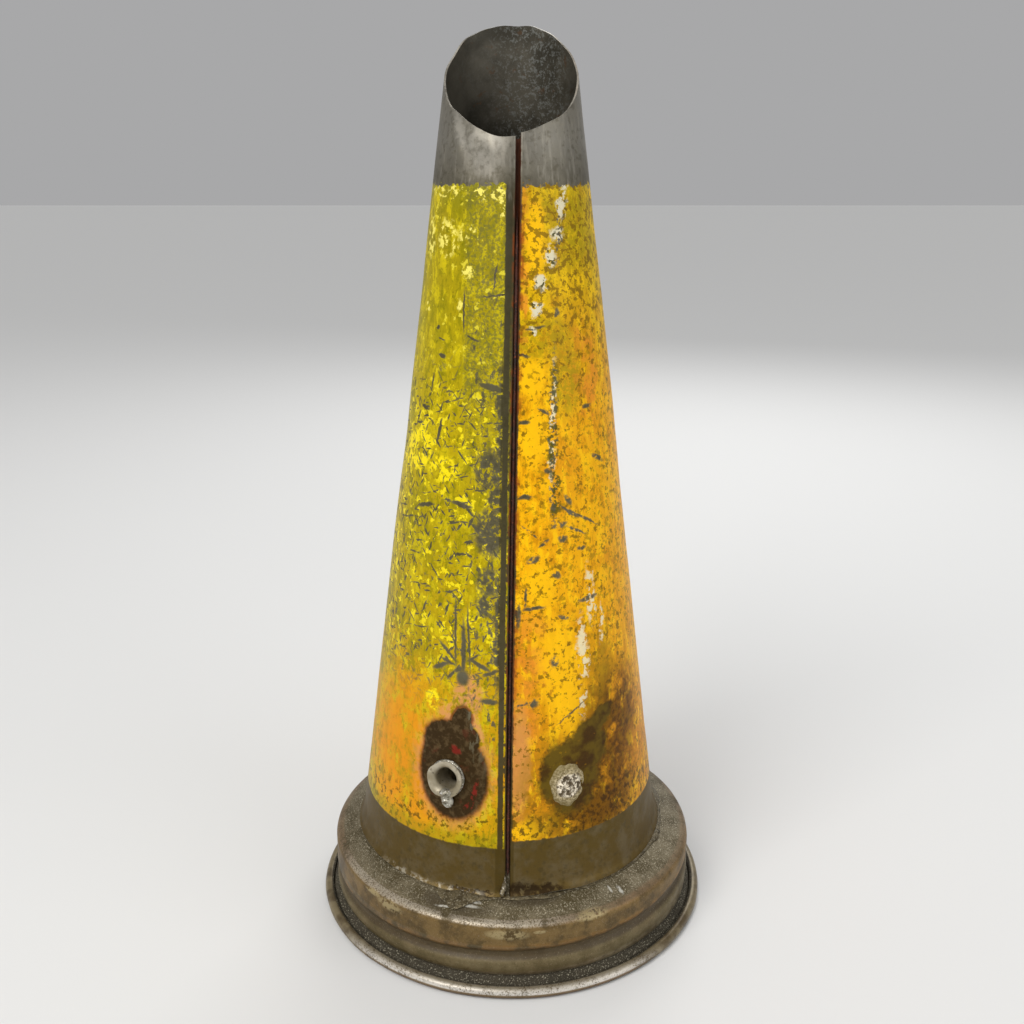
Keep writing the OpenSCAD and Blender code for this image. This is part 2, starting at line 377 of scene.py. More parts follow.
# ---------------------------------------------------------------- the cone

@dataclass
class SpoutCone:
    """The rolled sheet: a tapering wall whose two edges hook into each other in a lock seam.

    Each of the holes is an azimuth, a height and a radius.
    """

    size: Measures
    foot_h: float = 14.15
    foot_flare: float = 0.75
    fold_r: float = 0.25
    lip_step: float = 0.22
    rim_low: float = 0.22
    hook_drop: float = 0.8
    holes: tuple[tuple[float, float, float], ...] = ((-24.0, 33.3, 2.3), (23.0, 32.2, 1.9))
    name: str = "rolled_cone"
    dents: tuple[Dent, ...] = (
        Dent(-27.0, 128.5, 2.6, 3.2, 0.42, 0.5),
        Dent(-45.0, 132.0, 0.8, 5.0, -0.16, -0.45),
        Dent(-13.0, 130.6, 1.0, 2.4, -0.24, -0.6),
        Dent(-22.0, 133.5, 1.6, 1.2, 0.2, 0.9),
        Dent(35.0, 133.0, 5.0, 6.0, 0.18, 0.0),
        Dent(60.0, 120.0, 7.0, 14.0, 0.16, 0.1),
        Dent(-75.0, 88.0, 9.0, 22.0, 0.18, 0.0),
        Dent(48.0, 62.0, 8.0, 10.0, 0.2, 0.3),
        Dent(-60.0, 50.0, 8.0, 14.0, 0.16, 0.2),
        Dent(120.0, 72.0, 9.0, 9.0, 0.3, 0.0),
        Dent(-140.0, 100.0, 8.0, 16.0, 0.25, 0.4),
        Dent(170.0, 40.0, 10.0, 12.0, 0.3, 0.0),
    )

    def seam_section(self) -> tuple[Array, Array]:
        """The rolled sheet's middle line near the seam, as distance round the wall and depth below it.

        The right edge starts as a hook between the left edge's two layers, turns back under them,
        crosses below the groove and bends up to the surface. The left edge bends down at the groove
        and back under itself.

        Returns:
            Points of the right edge, and points of the left edge.
        """
        half, layer = self.size.sheet / 2, self.size.sheet + self.size.fold_gap
        edge = self.size.groove / 2 + half
        end = edge - half + self.size.seam_w - half
        bend = self.fold_r
        right = np.concatenate([
            np.array([[-edge - half - self.size.fold_gap, layer + half]]),
            arc(-end + layer, 2 * layer + half, layer, -90.0, -270.0, 8),
            arc(edge - bend, 3 * layer + half - bend, bend, 90.0, 0.0, 4),
            arc(edge + bend, half + bend, bend, 180.0, 270.0, 5),
        ])
        left = np.concatenate([
            arc(-edge - layer, layer + half, layer, -90.0, 90.0, 9),
            np.array([[-end + 1.4 * layer, 2 * layer + half]]),
        ])
        return right, left

    def middle(self) -> Array:
        """Grid of the sheet's middle surface.

        A column is one point of the rolled cross-section carried from the foot to the mouth. Its
        azimuth is distance / radius near the seam and runs evenly round the wall between.
        """
        right, left = self.seam_section()
        round_steps = spaced((0.0, 0.30, 96), (0.30, 0.70, 64), (0.70, 1.0, 96))[1:-1]
        share = spaced((0.0, 0.012, 7), (0.012, 0.06, 8), (0.06, 0.92, 74), (0.92, 0.99, 14), (0.99, 1.0, 3))
        right_half, left_half = right[-1, 0], left[0, 0]

        def azimuth_at(height: Array) -> Array:
            """Azimuths of all columns in degrees, from the right edge round to the left edge."""
            radius = self.size.cone_r(height)
            seam = np.degrees(self.size.seam_x(height) / radius)
            start = seam + np.degrees(right_half / radius)
            stop = seam + 360.0 + np.degrees(left_half / radius)
            return np.concatenate([seam + np.degrees(right[:, 0] / radius),
                                   start + round_steps * (stop - start),
                                   seam + 360.0 + np.degrees(left[:, 0] / radius)])

        depth = np.concatenate([right[:, 1], np.full(len(round_steps), self.size.sheet / 2), left[:, 1]])
        at_foot, at_top = azimuth_at(self.foot_h), azimuth_at(self.size.top)
        top = self.size.mouth_h(at_top)
        top = top + self.rim_waves(at_top) - self.hook_drop * (depth > self.size.sheet)
        foot = self.foot_h + self.foot_waves(at_foot)
        height = foot + share[:, None] * (top - foot)
        levels = 60
        rows = np.array([azimuth_at(h) for h in np.linspace(self.foot_h, self.size.top, levels)])
        climb = (height - self.foot_h) / (self.size.top - self.foot_h)
        at = np.clip(climb, 0.0, 1.0) * (levels - 1.0)
        low = np.minimum(at.astype(int), levels - 2)
        column = np.arange(len(depth))[None, :]
        azimuth = rows[low, column] + (at - low) * (rows[low + 1, column] - rows[low, column])
        signed = gap(azimuth, 0.0)
        wall = self.size.cone_r(height) - depth[None, :] - self.push(signed, height)
        wall = wall + self.flare(signed, height, foot)
        turn = np.radians(azimuth)
        return around(wall, turn, height, self.size.shift_x(height))

    def rim_waves(self, azimuth: Array) -> Array:
        """Unevenness of the snipped mouth: three slow waves, flats between snips, the left edge lower."""
        signed = gap(azimuth, 0.0)
        turn = np.radians(azimuth)
        waves = 0.10 * np.sin(5 * turn + 1.1) + 0.08 * np.sin(9 * turn + 2.0) + 0.05 * np.sin(14 * turn)
        waves = waves * ease(np.abs(signed), 5.0, 60.0)
        left_edge = self.lip_step * (azimuth > 180.0) * (1.0 - ease(-signed, 4.0, 24.0))
        sides = 0.75 * hump(signed, 24.0, 21.0) + 0.62 * hump(signed, -34.0, 20.0)
        sides = sides + 0.28 * hump(signed, 0.0, 14.0)
        snips = 0.22 * hump(signed, -132.0, 9.0) - 0.16 * hump(signed, -112.0, 8.0)
        snips = snips + 0.18 * hump(signed, 140.0, 9.0)
        return waves - left_edge - self.rim_low + sides + snips

    def foot_waves(self, azimuth: Array) -> Array:
        """Unevenness of the foot's edge: higher at the front right, where it has sprung off the collar."""
        signed = gap(azimuth, 0.0)
        turn = np.radians(azimuth)
        return 0.12 * np.sin(5 * turn) + 0.07 * np.sin(11 * turn + 1.0) + 0.35 * hump(signed, 17.0, 6.0)

    def push(self, azimuth: Array, height: Array) -> Array:
        """How far the wall is pushed in: the dents, and a slow noise of a tenth of a millimetre."""
        radius = self.size.cone_r(height)
        turn = np.radians(azimuth)
        place = around(radius, turn, height)
        total = 0.09 * rough(place, 17.0, 5, 2) + 0.03 * rough(place, 6.0, 9, 2)
        for dent in self.dents:
            total = total + dent.push(np.radians(gap(azimuth, dent.azimuth)) * radius, height)
        ridge = hump(np.radians(azimuth) * radius - self.size.seam_x(height), -1.5, 1.6)
        return total * (1.0 - 0.85 * ridge) - 0.07 * ridge

    def flare(self, azimuth: Array, height: Array, foot: Array) -> Array:
        """Outward turn of the foot: foot_flare at the edge, fading as exp(-rise / 0.55 mm) above it."""
        amount = self.foot_flare * (1.0 + 0.15 * np.sin(np.radians(azimuth) * 4.0))
        return amount * np.exp(-(height - foot) / 0.55)

    def build(self) -> bpy.types.Object:
        """Builds the wall and cuts the holes of the vent and of the plug through it.

        Returns:
            The finished piece.
        """
        points, faces, sides = sheet_solid(self.middle(), self.size.sheet, close_columns=False)
        x, y, z = points[faces].mean(axis=1).T
        across = np.arctan2(x - self.size.shift_x(z), -y) * self.size.cone_r(z) - self.size.seam_x(z)
        sides = np.where((sides == Side.OUTER.value) & (across > 0.0), Side.OUTER_RIGHT.value, sides)
        piece = make_mesh(self.name, points, faces, sides)
        turn = np.linspace(0, 2 * np.pi, 48, endpoint=False)
        for azimuth, height, radius in self.holes:
            ring = np.stack([radius * np.cos(turn), radius * np.sin(turn)], axis=1)
            rings = np.array([np.column_stack([ring, np.full(len(ring), z)]) for z in (-4.0, 4.0)])
            cutter = make_mesh("hole_cutter", *closed_grid(self.size.on_cone(azimuth, height, rings)))
            cut_away(piece, cutter)
        return piece


def cut_away(piece: bpy.types.Object, cutter: bpy.types.Object) -> None:
    """Subtracts a closed cutter from a piece for good, and removes the cutter.

    Args:
        piece: the object that is cut; its mesh is replaced.
        cutter: the closed object that is taken out of it.
    """
    boolean = piece.modifiers.new("cut", "BOOLEAN")
    boolean.operation = "DIFFERENCE"
    boolean.solver = "EXACT"
    boolean.object = cutter
    ready = piece.evaluated_get(bpy.context.evaluated_depsgraph_get())
    cut = bpy.data.meshes.new_from_object(ready)
    piece.modifiers.clear()
    old = piece.data
    piece.data = cut
    cut.name = piece.name
    bpy.data.meshes.remove(old)
    bpy.data.meshes.remove(cutter.data)


# ---------------------------------------------------------------- the collar

@dataclass
class ScrewCollar:
    """The pressed collar: neck, shoulder, threaded wall, gutter and curled hem, in one sheet."""

    size: Measures
    shoulder_slope: float = 20.0
    corner_r: float = 1.3
    thread_depth: float = 0.72
    thread_h: float = 6.55
    thread_lead: float = 6.0
    thread_half: float = 1.55
    thread_reach: float = 158.0
    neck_top: float = 18.7
    hem_r: float = 0.95
    columns: int = 520
    name: str = "screw_collar_shell"

    def profile(self) -> Array:
        """Middle line of the sheet, as radius and height, from the neck's top to the end of the curl."""
        half = self.size.sheet / 2
        slope = math.radians(self.shoulder_slope)
        foot = self.size.foot_r - 2 * self.size.sheet
        shoulder = self.size.shoulder_h - 0.28
        wall = self.size.wall_r - half
        corner_x = self.size.wall_r - self.corner_r
        corner_y = shoulder - (corner_x - foot) * math.tan(slope) - self.corner_r + 0.12
        neck = np.array([[foot - 1.0, self.neck_top], [foot - 0.62, 17.0], [foot - 0.36, 15.8]])
        turn_out = arc(foot + 0.75, shoulder + 0.8, 0.8, 180.0, 270.0 - self.shoulder_slope, 5)
        corner = arc(corner_x, corner_y, self.corner_r - half, 90.0 - self.shoulder_slope, 0.0, 8)
        start, stop = turn_out[-1], corner[0]
        shares = np.linspace(0.0, 1.0, 16)[1:-1, None]
        slope_line = start + shares * (stop - start)
        wall_line = np.column_stack([np.full(34, wall), np.linspace(corner_y - 0.25, 3.45, 34)])
        gutter = np.array([[wall - 0.06, 3.2], [wall - 0.2, 2.95], [wall - 0.33, 2.7], [wall - 0.33, 2.45],
                           [wall - 0.12, 2.2], [wall + 0.3, 1.98], [wall + 0.62, 1.8]])
        hem_x = self.size.hem_r - self.hem_r
        curl = arc(hem_x, self.hem_r, self.hem_r - half, 178.0, 492.0, 30)
        return np.concatenate([neck, turn_out, slope_line, corner, wall_line, gutter, curl])

    def middle(self) -> Array:
        """The profile turned round the axis, with the helical thread, dents and waves pressed in.

        The thread's middle rises by thread_lead for one turn to the right and fades out near the back.
        """
        line = self.profile()
        azimuth = np.linspace(-180.0, 180.0, self.columns, endpoint=False)[None, :]
        radius = np.repeat(line[:, :1], self.columns, axis=1)
        height = np.repeat(line[:, 1:], self.columns, axis=1)
        centre = self.thread_h + self.thread_lead * azimuth / 360.0
        offset = np.abs(height - centre)
        crest = 1.0 - ease(offset, 0.25, self.thread_half)
        fade = 1.0 - ease(np.abs(azimuth), self.thread_reach - 26.0, self.thread_reach)
        on_wall = ease(radius, self.size.wall_r - 0.5, self.size.wall_r - 0.2)
        on_wall = on_wall * ease(height, 2.9, 3.9) * (1.0 - ease(height, 10.6, 11.6))
        radius = radius - self.thread_depth * crest * fade * on_wall
        radius = radius + 0.14 * on_wall * hump(height - centre, -2.15, 0.8)
        turn = np.radians(azimuth)
        place = around(radius, turn, height)
        out_share = ease(radius, 27.0, 29.0)
        radius = radius + 0.07 * rough(place, 11.0, 21, 3) * out_share
        radius = radius - 0.10 * hump(gap(azimuth, -38.0), 0.0, 9.0) * on_wall
        height = height + out_share * (0.05 + 0.04 * rough(place, 7.0, 33, 3)) * ease(height, 2.0, 5.0)
        height = height - 0.04 * hump(azimuth, -24.0, 11.0) * hump(radius, 30.2, 1.5) * (height > 11.5)
        return around(radius, turn, height)

    def build(self) -> bpy.types.Object:
        """Builds the collar as a closed wall of even thickness."""
        middle = self.middle()[::-1]
        points, faces, sides = sheet_solid(middle, self.size.sheet, close_columns=True)
        return make_mesh(self.name, points, faces, sides, sharp=50.0)


# ---------------------------------------------------------------- solder and the vent

@dataclass
class CollarSolder:
    """The ring of solder at the cone's foot: thin and broken, with one wide smear at the front left."""

    size: Measures
    columns: int = 480
    sides: int = 18
    middle_r: float = 27.25
    slope: float = 20.0
    smear_at: float = -19.0
    name: str = "foot_solder_ring"

    def build(self) -> bpy.types.Object:
        """Builds the ring: a flat oval section carried round the foot, wider and higher at the smear."""
        azimuth = np.linspace(-180.0, 180.0, self.columns, endpoint=False)
        turn = np.radians(azimuth)
        place = around(self.middle_r - 0.25, turn, 0.0)
        broken = ease(rough(place, 5.0, 61, 3), -0.5, 0.7)
        smear = hump(azimuth, self.smear_at, 6.5)
        reach = 0.30 + 0.55 * broken + 2.7 * smear
        proud = 0.06 + 0.10 * broken + 0.13 * smear
        round_angle = np.linspace(0.0, 2 * np.pi, self.sides, endpoint=False)[:, None]
        across = np.cos(round_angle)
        radius = self.middle_r + reach * (0.35 + 0.65 * across)
        slope = math.tan(math.radians(self.slope))
        level = self.size.shoulder_h - (radius - self.size.foot_r) * slope + 0.02
        height = level + proud * np.sin(round_angle) * (1.0 - 0.35 * np.maximum(across, 0.0) * smear)
        points = around(radius, turn, height)
        points[..., 2] += 0.10 * rough(points, 1.3, 71, 3) * proud
        points[..., 2] += 0.09 * rough(points, 0.9, 75, 2) * smear
        faces = quads(self.sides, self.columns, close_rows=True, close_columns=True)
        return make_mesh(self.name, points[::-1].reshape(-1, 3), faces)


def bead(path: Array, radii: Array, sides: int = 28, flat: float = 1.0, grain: float = 0.0,
         seed: int = 0) -> tuple[Array, Array]:
    """A closed bead: rings carried along a path, each with its own radius, closed at both ends.

    Args:
        path: points of the middle line.
        radii: radius at each point, small at both ends.
        sides: points round a ring.
        flat: share by which the z direction is flattened.
        grain: height of the noise on its surface.
        seed: of the noise.

    Returns:
        Points and faces.
    """
    tangent = np.gradient(path, axis=0)
    tangent /= np.linalg.norm(tangent, axis=1, keepdims=True)
    side = np.cross(tangent, np.array([0.0, 0.0, 1.0]))
    side /= np.linalg.norm(side, axis=1, keepdims=True)
    up = np.cross(side, tangent)
    angle = np.linspace(0, 2 * np.pi, sides, endpoint=False)
    cos, sin = np.cos(angle)[None, :, None], np.sin(angle)[None, :, None]
    ring = cos * side[:, None, :] + sin * up[:, None, :] * flat
    points = path[:, None, :] + radii[:, None, None] * ring
    if grain:
        points = points + ring * (grain * rough(points, 0.8, seed, 3))[..., None]
    return closed_grid(points[:, ::-1])


@dataclass
class SeamSolder:
    """The rust-stained solder at the bottom of the seam's groove."""

    size: Measures
    depth: float = 0.42
    half_t: float = 0.28
    low: float = 17.0
    high: float = 122.0
    name: str = "groove_solder"

    def build(self) -> bpy.types.Object:
        """Builds a strip that follows the groove: an oval section whose face rises and falls a little."""
        height = np.linspace(self.low, self.high, 260)
        across = np.linspace(0, 2 * np.pi, 12, endpoint=False)
        ends = ease(height, self.low, self.low + 1.5) * ease(height, self.high, self.high - 8.0)
        ends = np.sqrt(np.clip(ends, 0.001, 1.0))[:, None]
        place = np.stack([0 * height, 0 * height, height], axis=-1)
        depth = self.depth + 0.09 * rough(place, 2.6, 81, 3)
        wide = 0.5 * self.size.groove + 0.02
        height = height[:, None]
        cone_r = self.size.cone_r(height)
        radius = cone_r - depth[:, None] - self.half_t + self.half_t * np.cos(across) * ends
        turn = (self.size.seam_x(height) + wide * np.sin(across) * ends) / cone_r
        shift = self.size.shift_x(height)
        return make_mesh(self.name, *closed_grid(around(radius, turn, height, shift)))


@dataclass
class SeamFootSolder:
    """The hooked bead at the left of the seam's foot, and its small run below."""

    size: Measures
    name: str = "seam_foot_bead"

    def build(self) -> bpy.types.Object:
        """Builds the hook: a bead up the seam's left side that curls left at its lower end."""
        share = np.linspace(0.0, 1.0, 42)
        x = -0.95 + 0.35 * np.sin(share * 2.2) - 0.75 * (1 - ease(share, 0.0, 0.35)) * 0.55
        height = 14.55 + 3.1 * share - 0.35 * hump(share, 0.12, 0.08)
        radius = self.size.cone_r(height) + 0.02 + 0.55 * (1 - ease(share, 0.05, 0.45))
        turn = x / radius
        path = around(radius, turn, height, self.size.shift_x(height))
        radii = 0.10 + 0.30 * (1 - share) ** 0.8 + 0.12 * hump(share, 0.08, 0.09)
        radii = radii + 0.10 * hump(share, 0.45, 0.1)
        radii = radii * np.sqrt(np.clip(ease(share, -0.02, 0.08) * ease(share, 1.02, 0.8), 0.001, 1.0))
        return make_mesh(self.name, *bead(path, radii, grain=0.10, seed=87))


@dataclass
class AirVent:
    """The bent tube with its flared lip, and the solder that holds it with the drip below."""

    size: Measures
    azimuth: float = -24.0
    height: float = 33.3
    bore: float = 3.7
    wall: float = 0.34
    flare: float = 0.82
    run: float = 2.6
    bend: float = 4.0
    drop: float = 17.0
    tube_name: str = "vent_tube_shell"
    solder_name: str = "vent_solder_drip"

    def tube(self) -> bpy.types.Object:
        """Builds the tube: circles carried along a line that runs in, bends down and drops.

        The lip is a quarter circle that opens outwards, with a hammered edge.
        """
        middle_r = (self.bore + self.wall) / 2
        lip = arc(middle_r + self.flare, 0.30, self.flare, 180.0, 74.0, 10)[::-1]
        round_angle = np.linspace(0, 2 * np.pi, 72, endpoint=False)
        ring = np.stack([np.cos(round_angle), np.sin(round_angle)], axis=-1)
        uneven = 1.0 + 0.035 * np.sin(2 * round_angle + 0.7) + 0.02 * np.sin(5 * round_angle)
        rows = []
        for r, z in lip:
            wide = r * (uneven if r > middle_r + 0.05 else np.ones(len(ring)))
            wavy = z + 0.10 * (r - middle_r) * np.sin(3 * round_angle + 1.1)
            rows.append(np.column_stack([ring * wide[:, None], wavy]))
        for z in np.linspace(0.0, -self.run, 6):
            rows.append(np.column_stack([ring * middle_r, np.full(len(ring), z)]))
        for turn in np.radians(np.linspace(0.0, 90.0, 13))[1:]:
            cos, sin = math.cos(turn), math.sin(turn)
            centre = np.array([0.0, -self.bend * (1 - cos), -self.run - self.bend * sin])
            up = np.array([0.0, cos, -sin])
            rows.append(centre + middle_r * (ring[:, :1] * np.array([1.0, 0.0, 0.0]) + ring[:, 1:] * up))
        drop_steps = 13
        for _ in range(drop_steps):
            rows.append(rows[-1] + np.array([0.0, -self.drop / drop_steps, 0.0]))
        middle = self.size.on_cone(self.azimuth, self.height, np.array(rows)[::-1])
        points, faces, sides = sheet_solid(middle, self.wall, close_columns=True)
        return make_mesh(self.tube_name, points, faces, sides, sharp=60.0)

    def solder(self) -> bpy.types.Object:
        """Builds the solder: a lumpy fillet round the tube joined to a drip that ends in a ringed drop."""
        angle = np.linspace(0, 2 * np.pi, 96, endpoint=False)
        down = hump(gap(np.degrees(angle), -84.0), 0.0, 30.0)
        across = np.linspace(0, 2 * np.pi, 20, endpoint=False)[:, None]
        reach = 0.75 + 0.28 * down
        radius = 2.30 + reach * (0.42 + 0.58 * np.cos(across))
        rise = 0.10 + (0.34 + 0.42 * down) * np.sin(across)
        fillet = np.stack([radius * np.cos(angle), radius * np.sin(angle), rise + 0 * radius], axis=-1)
        fillet = fillet + 0.10 * rough(fillet, 0.7, 91, 3)[..., None] * np.array([0.3, 0.3, 1.0])
        share = np.linspace(0.0, 1.0, 56)
        path = np.stack([0.22 + 0.33 * share, -1.70 - 3.30 * share, 1.10 - 0.80 * share], axis=-1)
        radii = 1.22 - 0.14 * share + 0.07 * np.sin(share * 15.0) - 0.14 * hump(share, 0.5, 0.10)
        radii = radii * np.sqrt(np.clip(ease(share, -0.04, 0.16) * ease(share, 1.02, 0.70), 0.001, 1.0))
        drip_points, drip_faces = bead(path, radii, sides=44, flat=0.62, grain=0.20, seed=95)
        away = np.hypot(drip_points[:, 0] - 0.52, drip_points[:, 1] + 4.15)
        front = drip_points[:, 2] > 0.45
        drip_points[:, 2] += (0.24 * hump(away, 0.66, 0.17) - 0.12 * hump(away, 0.0, 0.40)) * front
        points = np.concatenate([fillet.reshape(-1, 3), drip_points])
        rings, steps = fillet.shape[:2]
        around_tube = quads(rings, steps, close_rows=True, close_columns=True)[:, ::-1]
        faces = np.concatenate([around_tube, drip_faces + rings * steps])
        placed = self.size.on_cone(self.azimuth, self.height, points)
        return make_mesh(self.solder_name, placed, faces, sharp=70.0)


@dataclass
class PlugSolder:
    """The crumbled lump of solder that closes the second hole."""

    size: Measures
    azimuth: float = 22.8
    height: float = 32.2
    half_w: float = 3.15
    half_l: float = 3.75
    proud: float = 0.62
    depth: float = 0.9
    name: str = "plug_lump"

    def build(self) -> bpy.types.Object:
        """Builds the lump on rings of growing radius: a low dome, pitted and crusted towards the middle.

        The dome's height is proud * (1 - s^3) for the share s of the way to its ragged edge.
        """
        share = np.linspace(0.0, 1.0, 84)[1:, None]
        angle = np.linspace(0, 2 * np.pi, 220, endpoint=False)[None, :]
        edge = 1.0 + 0.035 * np.sin(3 * angle + 0.5) + 0.03 * np.sin(7 * angle)
        edge = edge + 0.02 * np.sin(13 * angle + 2)
        x = share * edge * self.half_w * np.cos(angle)
        y = share * edge * self.half_l * np.sin(angle)
        flat = np.stack([x, y, 0 * x], axis=-1)
        away = np.hypot(x - 0.35, y + 0.1)
        crust = ease(away, 2.5, 1.7)
        chunks = lattice_noise(flat, 0.55, 101) + 0.6 * lattice_noise(flat, 0.30, 103)
        chunks = np.round(chunks * 2.2) / 2.2 * 0.6 + 0.4 * chunks
        grain = rough(flat, 0.9, 107, 4)
        cone_r = self.size.cone_r(self.height)
        sag = cone_r - np.sqrt(cone_r ** 2 - x ** 2)
        z = self.proud * (1.0 - share ** 3) - sag - 0.05 * share ** 8
        z = z + crust * (0.26 * chunks + 0.06 * grain) + (1 - crust) * 0.10 * grain * (1 - share ** 10)
        z = z - 0.14 * hump(away, 2.25, 0.22)
        top = np.stack([x, y, z], axis=-1)
        under = np.stack([x[-1] * 0.96, y[-1] * 0.96, -sag[-1] - self.depth], axis=-1)
        points = np.concatenate([top, under[None]])
        solid_points, faces = closed_grid(points)
        solid_points[-2, 2] = self.proud
        placed = self.size.on_cone(self.azimuth, self.height, solid_points)
        return make_mesh(self.name, placed, faces[:, ::-1], sharp=75.0)


# ---------------------------------------------------------------- finishes

Colour = tuple[float, float, float, float]


def hue(code: str) -> Colour:
    """Turns a colour such as "#c9a51c" into the linear values that shaders take."""
    parts = [int(code[i:i + 2], 16) / 255.0 for i in (1, 3, 5)]
    linear = [p / 12.92 if p <= 0.04045 else ((p + 0.055) / 1.055) ** 2.4 for p in parts]
    return (linear[0], linear[1], linear[2], 1.0)


class Signal:
    """An output of a shader node that can be added, multiplied and compared like a number."""

    def __init__(self, net: "Net", socket: bpy.types.NodeSocket) -> None:
        """Keeps the net that the socket belongs to."""
        self.net = net
        self.socket = socket

    def __add__(self, other: "Level") -> "Signal":
        """Sum."""
        return self.net.math("ADD", self, other)

    def __sub__(self, other: "Level") -> "Signal":
        """Difference."""
        return self.net.math("SUBTRACT", self, other)

    def __rsub__(self, other: float) -> "Signal":
        """Difference from a number."""
        return self.net.math("SUBTRACT", other, self)

    def __mul__(self, other: "Level") -> "Signal":
        """Product."""
        return self.net.math("MULTIPLY", self, other)

    def __or__(self, other: "Level") -> "Signal":
        """The larger of two masks."""
        return self.net.math("MAXIMUM", self, other)

    __radd__ = __add__
    __rmul__ = __mul__


Level = Signal | float
Tint = Signal | str
Place = tuple[Signal, Signal]


class Net:
    """Writes a material's node tree: each method adds a node and gives its output as a Signal."""

    def __init__(self, name: str) -> None:
        """Starts a material with a Principled shader and the spout's own coordinates in millimetres."""
        self.material = bpy.data.materials.new(name)
        self.material.use_nodes = True
        self.tree = self.material.node_tree
        self.shader = self.tree.nodes["Principled BSDF"]
        coordinates = self.tree.nodes.new("ShaderNodeTexCoord")
        self.place = self.vector("MULTIPLY", Signal(self, coordinates.outputs["Object"]), (1000.0,) * 3)
        split = self.tree.nodes.new("ShaderNodeSeparateXYZ")
        self.tree.links.new(self.place.socket, split.inputs[0])
        self.x, self.y, self.z = (Signal(self, split.outputs[i]) for i in range(3))

    def feed(self, socket: bpy.types.NodeSocket, value: "Signal | float | Sequence[float]") -> None:
        """Links a Signal to an input, or sets the input to a constant."""
        if isinstance(value, Signal):
            self.tree.links.new(value.socket, socket)
        else:
            socket.default_value = value

    def math(self, operation: str, *levels: Level) -> Signal:
        """One arithmetic step on one, two or three levels."""
        node = self.tree.nodes.new("ShaderNodeMath")
        node.operation = operation
        for socket, level in zip(node.inputs, levels):
            self.feed(socket, level)
        return Signal(self, node.outputs[0])

    def vector(self, operation: str, first: Signal, second: "Signal | Sequence[float]") -> Signal:
        """One step on vectors."""
        node = self.tree.nodes.new("ShaderNodeVectorMath")
        node.operation = operation
        self.feed(node.inputs[0], first)
        self.feed(node.inputs[1], second)
        return Signal(self, node.outputs[0])

    def join(self, x: Level, y: Level, z: Level = 0.0) -> Signal:
        """A vector of three levels."""
        node = self.tree.nodes.new("ShaderNodeCombineXYZ")
        for socket, value in zip(node.inputs, (x, y, z)):
            self.feed(socket, value)
        return Signal(self, node.outputs[0])

    def mapped(self, at: Signal, turn: float, length: float, width: float) -> Signal:
        """Coordinates turned by an angle in degrees and divided by a length and a width."""
        node = self.tree.nodes.new("ShaderNodeMapping")
        node.vector_type = "TEXTURE"
        self.feed(node.inputs["Vector"], at)
        node.inputs["Rotation"].default_value = (0.0, 0.0, math.radians(turn))
        node.inputs["Scale"].default_value = (length, width, 1.0)
        return Signal(self, node.outputs[0])

    def noise(self, size: float, at: Signal | None = None, detail: float = 3.0, rough_share: float = 0.6,
              shift: float = 0.0) -> Signal:
        """Noise about 0.5 with features of a size in millimetres.

        Args:
            size: of the largest features.
            at: coordinates, or None for the spout's own.
            detail: how many finer layers are added.
            rough_share: strength of each layer against the one before.
            shift: moves to another part of the noise.
        """
        node = self.tree.nodes.new("ShaderNodeTexNoise")
        node.noise_dimensions = "4D"
        self.feed(node.inputs["Vector"], at or self.place)
        node.inputs["W"].default_value = shift
        node.inputs["Scale"].default_value = 1.0 / size
        node.inputs["Detail"].default_value = detail
        node.inputs["Roughness"].default_value = rough_share
        return Signal(self, node.outputs["Fac"])

    def cells(self, size: float) -> Signal:
        """Distance from the nearest of many scattered points, in shares of a size."""
        node = self.tree.nodes.new("ShaderNodeTexVoronoi")
        self.feed(node.inputs["Vector"], self.place)
        node.inputs["Scale"].default_value = 1.0 / size
        return Signal(self, node.outputs["Distance"])

    def rise(self, level: Level, low: float, high: float, top: float = 1.0) -> Signal:
        """Smooth step from 0 at low to top at high; with high below low it falls."""
        node = self.tree.nodes.new("ShaderNodeMapRange")
        node.interpolation_type = "SMOOTHSTEP"
        self.feed(node.inputs["Value"], level)
        node.inputs["From Min"].default_value = min(low, high)
        node.inputs["From Max"].default_value = max(low, high)
        node.inputs["To Min"].default_value = 0.0 if low < high else top
        node.inputs["To Max"].default_value = top if low < high else 0.0
        return Signal(self, node.outputs["Result"])

    def within(self, level: Level, low: float, high: float, soft: float) -> Signal:
        """Mask that is 1 between two levels and fades over a soft width outside each."""
        return self.rise(level, low - soft, low) * self.rise(level, high + soft, high)

    def slope(self, at: Place, x_share: float, z_share: float, start: float) -> Signal:
        """The sum x * x_share + z * z_share + start, leaving out what is 0."""
        if z_share == 0.0:
            return self.math("MULTIPLY_ADD", at[0], x_share, start)
        along = self.math("MULTIPLY_ADD", at[1], z_share, start)
        return along if x_share == 0.0 else self.math("MULTIPLY_ADD", at[0], x_share, along)

    def reach(self, at: Place, middle: Sequence[float], size: Sequence[float], turn: float) -> Signal:
        """Squared distance from the middle of an oval, in shares of its size: 1 on its outline.

        Args:
            at: flat coordinates in millimetres.
            middle: of the oval.
            size: its half width and half height.
            turn: its turn, anticlockwise in degrees.
        """
        cos, sin = math.cos(math.radians(turn)), math.sin(math.radians(turn))
        (x, z), (wide, high) = middle, size
        across = self.slope(at, cos / wide, sin / wide, -(x * cos + z * sin) / wide)
        up = self.slope(at, -sin / high, cos / high, (x * sin - z * cos) / high)
        return self.math("MULTIPLY_ADD", up, up, across * across)

